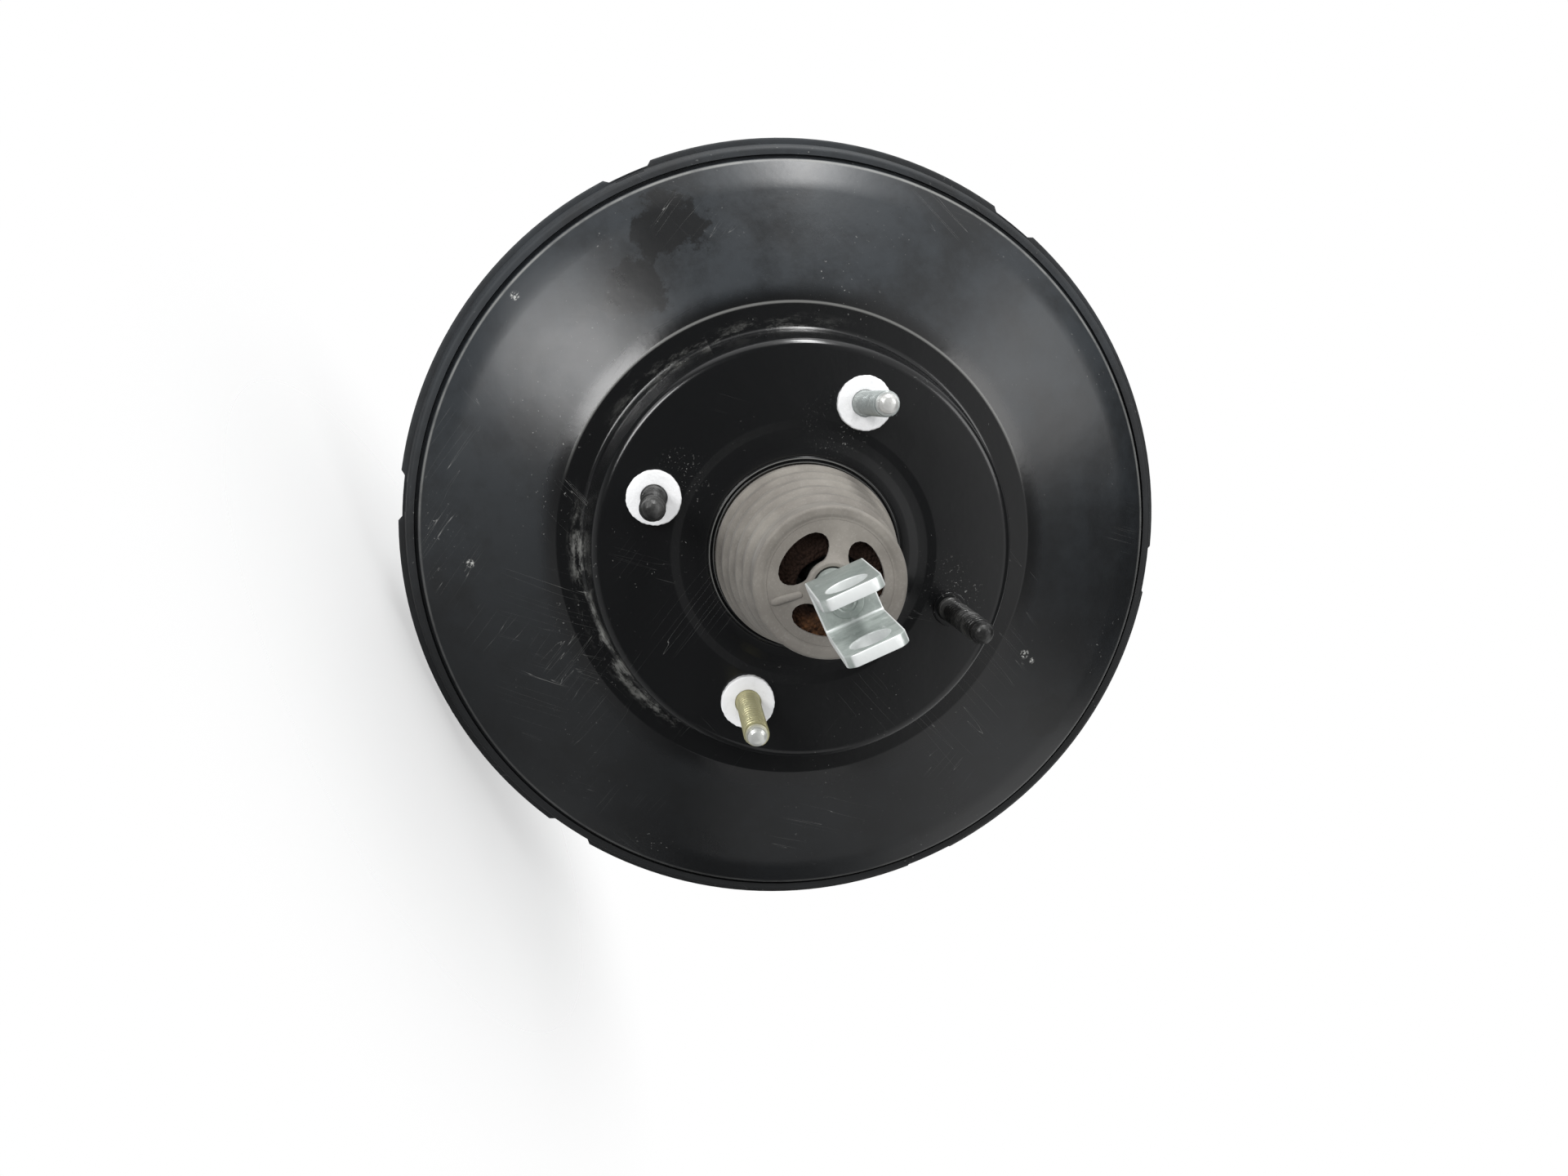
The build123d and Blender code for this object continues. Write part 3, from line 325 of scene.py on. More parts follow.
def painted_highlight_lines(tree, parts, radius, ragged, high):
    """Painted highlights: pale lines on the cover's outer bend, on the plateau's outer bend and on the neck's two
    beads, strongest on the side facing the lamps.
    """
    # painted highlight on the cover's outer bend, stronger towards the top of the view
    bend_highlight = times(tree, band(tree, radius, 133.1, 133.7, 134.0, 134.5), graded(tree, ragged, 0.3, 0.6, 0.35, 1.0))
    bend_highlight = times(tree, bend_highlight, scaled(tree, high, 0.42, 0.03))
    # painted highlight on the plateau's outer bend, near the top of the view
    crown_highlight = times(tree, band(tree, radius, 83.1, 83.7, 84.0, 84.5), graded(tree, high, 0.62, 0.85, 0.0, 0.3))
    lines = [bend_highlight, crown_highlight]
    left_high = scaled(tree, parts["X"], -0.78, times(tree, parts["Z"], -0.28))
    # painted glints on the neck's two beads, strongest on the upper left
    for inner_edge, outer_edge, strong in ((30.1, 30.6, 0.30), (31.4, 31.95, 0.42)):
        middle = (inner_edge + outer_edge) / 2
        bead_glint = band(tree, radius, inner_edge, middle, middle, outer_edge)
        bead_glint = times(tree, bead_glint, graded(tree, parts["Y"], 1.0 * mm, 0.3 * mm))
        lines.append(times(tree, bead_glint, graded(tree, left_high, -4.0 * mm, 16.0 * mm, 0.06, strong)))
    return largest(tree, *lines)


def corner_grime(tree, parts, radius):
    """Pale grime left in streaks in the corner at the foot of the boss, thickest on one side."""
    left = times(tree, graded(tree, parts["X"], -58.0 * mm, -78.0 * mm), 0.45)
    heavy_side = largest(tree, graded(tree, parts["Z"], -58.0 * mm, -72.0 * mm), left)
    turn = times(tree, figure(tree, "ARCTAN2", parts["Z"], parts["X"]), 0.030)
    polar = add(tree, "ShaderNodeCombineXYZ", {"X": turn, "Y": radius}).outputs[0]
    streaks = graded(tree, cloud(tree, polar, 210.0, 8.0, 0.75), 0.47, 0.68)
    return times(tree, band(tree, radius, 72.5, 74.6, 76.0, 81.0), heavy_side, streaks)


def long_scratches(tree, place):
    """Fine scratches in patches, running three ways."""
    lines = []
    for turn, shift in ((0.5, 0.0), (1.9, 3.7), (-0.7, 7.1)):
        sockets = {"Vector": place, "Rotation": (0.0, turn, 0.0), "Location": (shift, 0.0, shift)}
        laid = add(tree, "ShaderNodeMapping", sockets).outputs[0]
        line = cloud(tree, laid, 9.0, 2.0, 0.4, (34.0, 1.0, 1.0))
        line = graded(tree, figure(tree, "ABSOLUTE", figure(tree, "SUBTRACT", line, 0.5)), 0.0022, 0.0)
        lines.append(times(tree, line, graded(tree, cloud(tree, laid, 20.0, 2.0), 0.60, 0.68)))
    return largest(tree, *lines)


def shell_paint():
    """Black dip paint: glossy on the bulkhead face, duller under dust on the cover."""
    finish, tree, shader, place, parts = new_finish("shell_paint")
    radius = span(tree, parts["X"], parts["Z"])
    on_rear = graded(tree, parts["Y"], 54.0 * mm, 52.5 * mm)
    # high runs from the bottom of the view to its top; it grades painted light on the cover
    high = scaled(tree, parts["X"], -0.9, times(tree, parts["Z"], 0.41))
    high = graded(tree, high, -70.0 * mm, 100.0 * mm, 0.22, 1.0)
    on_cover, film = dust_film_with_painted_light(tree, place, parts, radius, high)
    ragged = cloud(tree, place, 60.0, 6.0, 0.7)
    grime = times(tree, corner_grime(tree, parts, radius), on_rear)
    # dust grains, a few chips, and grains shaken loose beside the studs
    grains = graded(tree, cloud(tree, place, 900.0, 2.0, 0.5), 0.69, 0.76)
    grains = times(tree, grains, graded(tree, cloud(tree, place, 26.0, 3.0, 0.6), 0.5, 0.68))
    chips = add(tree, "ShaderNodeTexVoronoi", {"Vector": place, "Scale": 42.0}, feature="F1").outputs
    chips = times(tree, graded(tree, chips["Distance"], 0.05, 0.03), graded(tree, chips["Color"], 0.80, 0.84))
    beside = ((-35.0, 27.0, 3.0, 11.0), (32.0, 40.0, 3.0, 12.0), (-42.0, -26.0, 2.0, 8.0))
    shaken = largest(tree, *[spot(tree, parts, *patch) for patch in beside])
    grit = cloud(tree, place, 1150.0, 3.0, 0.6)
    loose = times(tree, graded(tree, grit, 0.60, 0.68), on_rear, shaken, graded(tree, ragged, 0.42, 0.62))
    scratches = long_scratches(tree, place)
    # painted highlights on the cover's bends and the neck's beads
    lines = times(tree, painted_highlight_lines(tree, parts, radius, ragged, high), on_rear)
    # real grains, chips, scratches and grit, joined with the painted highlight lines
    marks = [times(tree, grains, 0.5), chips, times(tree, scratches, 0.35), times(tree, loose, 0.6), lines]
    for x, z, wide in ((73.0, 61.0, 1.1), (77.0, 63.0, 0.7), (-118.0, -54.0, 1.0), (-40.0, -108.0, 0.9)):
        torn = times(tree, spot(tree, parts, x, z, wide, wide), graded(tree, grit, 0.45, 0.6))
        marks.append(times(tree, torn, on_rear))
    marks = largest(tree, *marks)
    colour = mixed(tree, film, (0.0065, 0.0068, 0.0072), (0.024, 0.0285, 0.033))
    colour = mixed(tree, times(tree, grime, 0.75), colour, (0.30, 0.30, 0.28))
    gloss = scaled(tree, on_cover, 0.11, 0.18)
    gloss = figure(tree, "ADD", gloss, times(tree, film, 0.05))
    gloss = figure(tree, "ADD", gloss, scaled(tree, cloud(tree, place, 34.0, 5.0, 0.65), 0.12, -0.06))
    gloss = scaled(tree, graded(tree, radius, 135.4 * mm, 136.6 * mm), 0.3, gloss)
    gloss = figure(tree, "ADD", gloss, times(tree, largest(tree, grime, marks), 0.4))
    base = mixed(tree, marks, colour, (0.42, 0.42, 0.40))
    wired(tree, shader, {"Base Color": base, "Roughness": gloss, "Specular IOR Level": 0.5})
    peel = times(tree, cloud(tree, place, 420.0, 2.0, 0.5), 0.12)
    relief = scaled(tree, cloud(tree, place, 38.0, 2.0, 0.4), 1.6, peel)
    relief = scaled(tree, scratches, -0.12, relief)
    bumped(tree, shader, scaled(tree, grime, 0.35, relief), 0.16)
    return finish


paint = shell_paint()


def dressed(piece, finish, body, slot, *nodes):
    """Give a piece its finish, the body it rides on and the nodes it stands for; its slot is not used."""
    piece.data.materials.clear()
    piece.data.materials.append(finish)
    if body:
        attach(piece, body)
    if nodes:
        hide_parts(*nodes)
    return piece


stud_reach = 37.5
stud_hole = 4.1
stud_places = [(stud_reach * x, stud_reach * z) for x, z in ((1, 1), (-1, -1), (-1, 1), (1, -1))]
collar_section = rounded(((stud_hole, 0.4, 0.0), (stud_hole, -0.8, 0.2), (5.7, -0.8, 0.35), (6.0, 0.4, 0.0)))
mouth_section = rounded(
    (
        (30.0, 1.8, 0.0),
        (30.0, -0.25, 0.35),
        (30.75, -0.25, 0.3),
        (31.0, 0.5, 0.2),
        (31.25, -0.5, 0.3),
        (32.1, -0.5, 0.4),
        (32.7, 0.8, 0.3),
        (32.5, 1.8, 0.0),
    )
)
rear_parts = [turned("rear_shell_pressing", sheet_section(rear_corners, sheet), around=256)]
rear_parts.append(turned("neck_mouth_bead", mouth_section, around=256))
for place in stud_places:
    rear_parts.append(turned("stud_collar", collar_section, around=48, centre=place))
rear_pressing = joined(rear_parts)
dressed(rear_pressing, paint, "housing", "painted_shell", "rear_shell")

# ---- front shell --------------------------------------------------------------------------
# The bowl on the engine side: the same sheet, its skirt rolled in over the rear shell's rim and
# folded back on itself as a ring, which is cut away at six turning lugs. Below each gap a tab is
# lanced inward to lock the two shells together.
lug_count = 6
skirt_radius = 143.0
ring_radius = 144.4
ring_rear = 60.6
ring_front = 63.6
pocket_radius = 27.5
front_face = 112.0
cylinder_stud_reach = 41.0
valve_offset = 96.0
valve_hole = 13.5
bowl_corners = (
    (136.7, 50.5, 0.0),
    (139.4, 50.5, 1.9),
    (skirt_radius, ring_front, 0.0),
    (139.0, ring_front, 1.6),
    (136.2, 89.0, 18.0),
    (74.0, 104.8, 5.0),
    (70.5, front_face, 4.0),
    (pocket_radius, front_face, 2.6),
    (pocket_radius, 99.0, 2.0),
    (20.5, 99.0, 0.0),
)
ring_corners = (
    (140.4, ring_rear + 0.4, 0.0),
    (ring_radius - 0.9, ring_rear - 0.2, 0.0),
    (ring_radius, ring_rear, 0.55),
    (ring_radius, ring_front, 0.9),
    (140.4, ring_front, 0.0),
)
gap_root = 3.0
gap_mouth = 3.7
gap_angles = sorted(
    {
        round((60.0 * lug + offset) % 360.0, 3)
        for lug in range(lug_count)
        for offset in [-gap_mouth, -gap_root, gap_root, gap_mouth, *range(-30, 30, 2)]
    }
)


def ring_edge(radius, station, angle):
    """Outline of the folded ring, drawn in at each lug gap."""
    if radius <= skirt_radius:
        return radius
    away = abs((angle + 30.0) % 60.0 - 30.0)
    share = min(1.0, max(0.03, (away - gap_root) / (gap_mouth - gap_root)))
    inner = skirt_radius - 0.15
    return min(radius, inner + (radius - inner) * share)


def settled(piece, *cleared):
    """A piece with its modifiers carried out on its mesh, and the tools it used removed."""
    bpy.context.view_layer.update()
    seen = piece.evaluated_get(bpy.context.evaluated_depsgraph_get())
    piece.data = bpy.data.meshes.new_from_object(seen)
    piece.modifiers.clear()
    for tool in cleared:
        bpy.data.objects.remove(tool)
    return smooth_shaded(piece)


def cut(piece, *tools):
    """Take the tools' forms out of a piece."""
    for tool in tools:
        taken = piece.modifiers.new("cut", "BOOLEAN")
        taken.operation = "DIFFERENCE"
        taken.solver = "EXACT"
        taken.object = tool
    return settled(piece, *tools)


def block(name, centre, across, along, high, turn=0.0):
    """A cutting block about a centre at (radius, station), turned about the booster axis."""
    verts = []
    for dx in (-high / 2, high / 2):
        for dy in (-along / 2, along / 2):
            for dz in (-across / 2, across / 2):
                radius = centre[0] + dx
                x = radius * cos(turn) - dz * sin(turn)
                verts.append((x, centre[1] + dy, radius * sin(turn) + dz * cos(turn)))
    faces = [(0, 1, 3, 2), (4, 6, 7, 5), (0, 4, 5, 1), (2, 3, 7, 6), (0, 2, 6, 4), (1, 5, 7, 3)]
    return piece_of(name, verts, faces)


def bore_tool(radius, rear, front, x=0.0, z=0.0, around=32):
    """A round cutter along Y."""
    section = ((0.0, rear), (radius, rear), (radius, front), (0.0, front))
    return turned("bore_tool", section, around=around, centre=(x, z))


window_station = 56.6
bowl = turned("front_shell_pressing", sheet_section(bowl_corners, sheet), angles=gap_angles)
lug_turns = [radians(60.0 * lug) for lug in range(lug_count)]
tools = [block("window_tool", (140.5, window_station), 11.0, 4.0, 9.0, turn) for turn in lug_turns]
tools += [bore_tool(stud_hole, 108.0, 114.0, x=x) for x in (-cylinder_stud_reach, cylinder_stud_reach)]
tools.append(bore_tool(valve_hole, 80.0, 102.5, z=valve_offset, around=64))
bowl = cut(bowl, *tools)
ring = turned("lug_ring", rounded(ring_corners), angles=gap_angles, radius_at=ring_edge)
pad_section = rounded(
    (
        (8.5, 102.5, 0.0),
        (8.5, 104.0, 0.5),
        (15.0, 104.0, 2.0),
        (15.6, 95.0, 0.0),
        (13.7, 94.0, 0.0),
        (valve_hole, 102.5, 0.8),
    )
)
valve_pad = turned("valve_pad", pad_section, around=64, centre=(0.0, valve_offset))


def form_tree(name, **kinds):
    """A geometry tree with named inputs, and those inputs."""
    tree = bpy.data.node_groups.new(name, "GeometryNodeTree")
    for label, kind in kinds.items():
        tree.interface.new_socket(label.replace("_", " "), in_out="INPUT", socket_type="NodeSocket" + kind)
    tree.interface.new_socket("Geometry", in_out="OUTPUT", socket_type="NodeSocketGeometry")
    return tree, add(tree, "NodeGroupInput").outputs


def coated_output(tree, formed, finish):
    """End a geometry tree with real geometry in one finish."""
    real = add(tree, "GeometryNodeRealizeInstances", {0: formed}).outputs[0]
    coated = add(tree, "GeometryNodeSetMaterial", {"Geometry": real, "Material": finish}).outputs[0]
    add(tree, "NodeGroupOutput", {0: coated})
    return tree


def ring_of_tree():
    """Copies of one form set round the booster axis."""
    tree, given = form_tree("round_the_axis", Form="Object", Finish="Material", Count="Int", Start_Angle="Float")
    form = add(tree, "GeometryNodeObjectInfo", {"Object": given["Form"]}).outputs["Geometry"]
    points = add(tree, "GeometryNodeMeshLine", {"Count": given["Count"], "Offset": (0.0, 0.0, 0.0)}).outputs[0]
    step = figure(tree, "DIVIDE", 2 * pi, given["Count"])
    index = add(tree, "GeometryNodeInputIndex").outputs[0]
    angle = scaled(tree, index, step, given["Start Angle"])
    turn = add(tree, "ShaderNodeCombineXYZ", {"Y": times(tree, angle, -1.0)}).outputs[0]
    sockets = {"Points": points, "Instance": form, "Rotation": turn}
    return coated_output(tree, add(tree, "GeometryNodeInstanceOnPoints", sockets).outputs[0], given["Finish"])


def grown(name, tree, **given):
    """A piece made by a tree from its named inputs, as a plain mesh."""
    piece = placed(name, bpy.data.meshes.new(name))
    modifier = piece.modifiers.new("form", "NODES")
    modifier.node_group = tree
    sockets = {item.name: item.identifier for item in tree.interface.items_tree if item.in_out == "INPUT"}
    for label, value in given.items():
        modifier[sockets[label.replace("_", " ")]] = value
    piece.update_tag()
    return settled(piece)


lance_tab = block("lance_tab_form", (138.9, window_station + 0.3), 10.2, 3.2, 1.3)
for vert in lance_tab.data.vertices:
    if vert.co.y > window_station * mm:
        vert.co.x -= 1.4 * mm
lance_tabs = grown("lance_tabs", ring_of_tree(), Form=lance_tab, Finish=paint, Count=lug_count, Start_Angle=0.0)
bpy.data.objects.remove(lance_tab)
bowl = joined([bowl, ring, valve_pad, lance_tabs])
dressed(bowl, paint, "housing", "painted_shell", "front_shell")

# ---- bulkhead studs -----------------------------------------------------------------------
# Four cold-headed M8 studs with dog points, their plain necks pressed through the bulkhead face.
# They come from mixed lots: two phosphated black, one bright zinc and one yellow chromate.
stud_end = -45.0
dog_start = stud_end + 3.5
dog_radius = 2.85
thread_pitch = 1.25
stud_neck = 4.28
thread_core = 3.62
thread_start = -3.4
ridge_radius = 0.385


def wound_tree():
    """Round wire or a thread's ridge wound about Y, its end turns laid closer if asked."""
    kinds = {"Finish": "Material", "Centre": "Vector", "Runs": "Int", "Sides": "Int"}
    for label in ("Mean_Radius", "Wire_Radius", "Turns", "Closed_Turns", "Closed_Pitch", "Length"):
        kinds[label] = "Float"
    tree, given = form_tree("wound_about_axis", **kinds)
    runs = given["Runs"]
    count = figure(tree, "ADD", runs, 1.0)
    points = add(tree, "GeometryNodeMeshLine", {"Count": count, "Offset": (0.0, 0.001, 0.0)}).outputs[0]
    line = add(tree, "GeometryNodeMeshToCurve", {0: points}).outputs[0]
    index = add(tree, "GeometryNodeInputIndex").outputs[0]
    turned_by = times(tree, figure(tree, "DIVIDE", index, runs), given["Turns"])
    angle = times(tree, turned_by, 2 * pi)
    closed = given["Closed Turns"]
    # station: closed turns at each end, and an even pitch between them
    rear = times(tree, figure(tree, "MINIMUM", turned_by, closed), given["Closed Pitch"])
    last = figure(tree, "SUBTRACT", given["Turns"], closed)
    front = times(tree, largest(tree, figure(tree, "SUBTRACT", turned_by, last), 0.0), given["Closed Pitch"])
    ends = times(tree, times(tree, closed, given["Closed Pitch"]), 2.0)
    open_turns = figure(tree, "SUBTRACT", last, closed)
    pitch = figure(tree, "DIVIDE", figure(tree, "SUBTRACT", given["Length"], ends), open_turns)
    middle = figure(tree, "SUBTRACT", figure(tree, "MINIMUM", turned_by, last), closed)
    middle = times(tree, largest(tree, middle, 0.0), pitch)
    station = figure(tree, "ADD", figure(tree, "ADD", rear, middle), front)
    across = times(tree, figure(tree, "COSINE", angle), given["Mean Radius"])
    along = times(tree, figure(tree, "SINE", angle), given["Mean Radius"])
    spiral = add(tree, "ShaderNodeCombineXYZ", {"X": across, "Y": station, "Z": along}).outputs[0]
    place = add(tree, "ShaderNodeVectorMath", {0: spiral, 1: given["Centre"]}, operation="ADD").outputs[0]
    laid = add(tree, "GeometryNodeSetPosition", {"Geometry": line, "Position": place}).outputs[0]
    sockets = {"Resolution": given["Sides"], "Radius": given["Wire Radius"]}
    wire = add(tree, "GeometryNodeCurvePrimitiveCircle", sockets).outputs[0]
    sockets = {"Curve": laid, "Profile Curve": wire, "Fill Caps": True}
    swept = add(tree, "GeometryNodeCurveToMesh", sockets).outputs[0]
    return coated_output(tree, swept, given["Finish"])


wound = wound_tree()


def plain_finish(name, colour, worn, rough, metal=0.0, scale=300.0, uneven=0.25, depth=0.15, marks=0.3, tip=None):
    """A made surface: uneven colour, worn or dirty patches, streaky gloss and a fine grain."""
    finish, tree, shader, place, parts = new_finish(name)
    patches = graded(tree, cloud(tree, place, scale * 0.2, 5.0, 0.65), 0.42, 0.72)
    fine = cloud(tree, place, scale, 4.0, 0.6)
    shade = mixed(tree, times(tree, fine, uneven), colour, tuple(c * 0.45 for c in colour))
    shade = mixed(tree, times(tree, patches, marks), shade, worn)
    if tip:
        shade = mixed(tree, graded(tree, parts["Y"], (dog_start + 0.2) * mm, (dog_start - 0.4) * mm), shade, tip)
    gloss = scaled(tree, patches, 0.12, scaled(tree, fine, 0.25, rough - 0.125))
    wired(tree, shader, {"Base Color": shade, "Roughness": gloss, "Metallic": metal})
    grain = cloud(tree, place, scale * 3.0, 3.0, 0.5)
    bumped(tree, shader, scaled(tree, patches, 0.6, grain), depth, 0.0004)
    return finish


black_phosphate = plain_finish(
    "black_phosphate", (0.012, 0.012, 0.012), (0.19, 0.19, 0.185), 0.3, 0.3, 380.0, 0.4, 0.3, 0.5
)
bright_zinc = plain_finish(
    "bright_zinc", (0.50, 0.54, 0.53), (0.30, 0.30, 0.28), 0.34, 0.5, 420.0, 0.35, 0.2, 0.4, (0.66, 0.66, 0.64)
)
yellow_chromate = plain_finish(
    "yellow_chromate", (0.60, 0.57, 0.34), (0.36, 0.32, 0.17), 0.32, 0.55, 420.0, 0.35, 0.2, 0.45, (0.68, 0.69, 0.66)
)
stud_corners = (
    (0.0, stud_end, 0.0),
    (dog_radius - 0.9, stud_end + 0.6, 0.6),
    (dog_radius, stud_end + 1.3, 0.4),
    (dog_radius, dog_start - 1.2, 0.15),
    (dog_radius - 0.45, dog_start - 0.9, 0.1),
    (dog_radius - 0.45, dog_start - 0.3, 0.1),
    (thread_core - 0.1, dog_start, 0.2),
    (thread_core, dog_start + 0.5, 0.0),
    (thread_core, thread_start, 0.0),
    (stud_neck, thread_start + 0.7, 0.2),
    (stud_neck, 1.6, 0.0),
    (8.0, 1.6, 0.3),
    (8.0, 4.1, 0.8),
    (0.0, 4.3, 0.0),
)


def threaded(name, shaft, finish, x, z, rear, front):
    """A shaft with the ridge of its thread wound on it."""
    turns = (front - rear) / thread_pitch
    ridge = grown(
        name + "_ridge",
        wound,
        Finish=finish,
        Centre=(x * mm, rear * mm, z * mm),
        Mean_Radius=(thread_core - 0.02) * mm,
        Wire_Radius=ridge_radius * mm,
        Turns=turns,
        Closed_Turns=0.0,
        Closed_Pitch=0.0,
        Length=(front - rear) * mm,
        Runs=round(turns * 20),
        Sides=8,
    )
    return joined([shaft, ridge])


for name, slot, finish, places in (
    ("bulkhead_studs_black", "black_stud", black_phosphate, stud_places[:2]),
    ("bulkhead_stud_zinc", "zinc_stud", bright_zinc, stud_places[2:3]),
    ("bulkhead_stud_yellow", "yellow_stud", yellow_chromate, stud_places[3:]),
):
    made = []
    for x, z in places:
        shaft = turned(name + "_shaft", rounded(stud_corners), around=40, centre=(x, z))
        made.append(threaded(name, shaft, finish, x, z, dog_start + 1.0, thread_start))
    studs = joined(made)
    studs.name = name + "_threaded"
    dressed(studs, finish, "housing", slot, name)

# ---- stud washers -------------------------------------------------------------------------
# Soft white plastic rings pushed over three of the studs to hold them for transport. They were
# stamped from sheet, so their rims are a little ragged and their faces are scuffed.
washer_radius = 9.35


def washer_rim(radius, station, angle):
    """The torn outline of a stamped ring."""
    if radius < 6.0:
        return radius
    turn = radians(angle)
    tear = 0.1 * sin(turn * 3 + 0.6) + 0.05 * sin(turn * 13) + 0.05 * sin(turn * 31 + station)
    return radius - 0.4 + tear


def washer_plastic():
    """White polyethylene with a soft scuffed skin and a little dirt in it."""
    finish, tree, shader, place, parts = new_finish("washer_plastic")
    dirt = graded(tree, cloud(tree, place, 260.0, 5.0, 0.7), 0.56, 0.74)
    shade = mixed(tree, times(tree, dirt, 0.22), (0.90, 0.90, 0.905), (0.50, 0.49, 0.48))
    soft = {"Subsurface Weight": 0.15, "Subsurface Radius": (0.002, 0.002, 0.002), "Subsurface Scale": 1.0}
    wired(tree, shader, {"Base Color": shade, "Roughness": 0.55, **soft})
    bumped(tree, shader, cloud(tree, place, 700.0, 4.0, 0.6), 0.5, 0.0004)
    return finish


washer_section = rounded(
    (
        (4.35, -2.9, 0.3),
        (washer_radius, -3.0, 0.5),
        (washer_radius, -0.1, 0.3),
        (6.1, -0.1, 0.0),
        (6.1, -1.0, 0.0),
        (4.35, -1.0, 0.0),
    )
)
washers = [
    turned("stud_washers_ragged", washer_section, around=144, centre=place, radius_at=washer_rim)
    for place in stud_places[1:]
]
dressed(joined(washers), washer_plastic(), "housing", "washer", "stud_washers")

# ---- rubber boot --------------------------------------------------------------------------
# A moulded bellows of grey rubber: a bead held inside the neck, shallow stepped folds and a
# round end cap. The cap has three kidney vents for air, a hub about the rod and a moulded rib.
boot_end = -63.0
cap_face = boot_end + 0.35
cap_inside = boot_end + 2.2
cap_radius = 21.9
plate_radius = 18.0
boot_wall = 1.5
fold_count = 5
first_crest = -7.4
last_crest = -46.0
crest_base = 29.9
crest_drop = 6.2
crease_depth = 1.9
fold_corners = [(30.4, 8.0, 0.0), (30.4, 4.5, 0.8), (28.0, 2.6, 1.2)]
for fold in range(fold_count):
    share = fold / (fold_count - 1)
    crest = first_crest + (last_crest - first_crest) * share
    crest_radius = crest_base - crest_drop * share
    fold_corners.append((crest_radius, crest + 3.4 - share, 1.6))
    fold_corners.append((crest_radius - 0.1, crest - 0.6, 1.6))
    fold_corners.append((crest_radius - crease_depth, crest - 3.0, 1.1))
fold_corners += [
    (cap_radius - 0.3, -50.6, 1.3),
    (cap_radius, -55.0, 3.0),
    (cap_radius, boot_end, 1.1),
    (19.4, boot_end, 1.5),
    (18.6, cap_face, 0.8),
    (plate_radius, cap_face, 0.0),
    (plate_radius, cap_inside, 0.0),
]
inner_corners = [(radius - boot_wall, station, bend) for radius, station, bend in fold_corners[:-6]]
inner_corners += [(cap_radius - boot_wall, cap_inside, 1.0)]
boot_section = rounded(fold_corners + inner_corners[::-1])
cap_section = rounded(
    (
        (plate_radius - 0.05, cap_face, 0.0),
        (12.4, boot_end - 0.1, 8.0),
        (8.6, boot_end - 1.5, 2.6),
        (7.2, boot_end - 3.6, 1.6),
        (6.4, boot_end - 4.4, 0.4),
        (5.4, boot_end - 4.4, 0.3),
        (5.4, boot_end - 2.6, 0.3),
        (6.6, boot_end - 1.9, 0.8),
        (9.4, boot_end + 0.1, 1.6),
        (12.2, boot_end + 1.5, 3.0),
        (plate_radius - 0.05, cap_inside, 0.0),
    )
)
vent_mean = 11.2
vent_half = 4.1
vent_turns = (84.0, 204.0, 324.0)
vent_span = 24.0


def lofted(name, rows):
    """A closed skin over rows of points, capped at both ends."""
    count = len(rows[0])
    faces = band_faces(len(rows), count)
    faces += [tuple(range(count)), tuple(range((len(rows) - 1) * count, len(rows) * count))]
    return piece_of(name, [vert for row in rows for vert in row], faces)


def vent_tool(turn):
    """Kidney-shaped cutter, its ends round and its inner side close to the hub."""
    outline = []
    for side in (1, -1):
        for step in range(13):
            outline.append((vent_mean + side * vent_half, turn + side * vent_span * (step / 6 - 1)))
        for step in range(1, 9):
            bulge = pi * step / 9
            past = vent_span + degrees(vent_half * sin(bulge) / vent_mean)
            outline.append((vent_mean + side * vent_half * cos(bulge), turn + side * past))
    ends = (boot_end - 4.0, boot_end + 4.0)
    return lofted("vent_tool", [[(r * cos(radians(a)), y, r * sin(radians(a))) for r, a in outline] for y in ends])


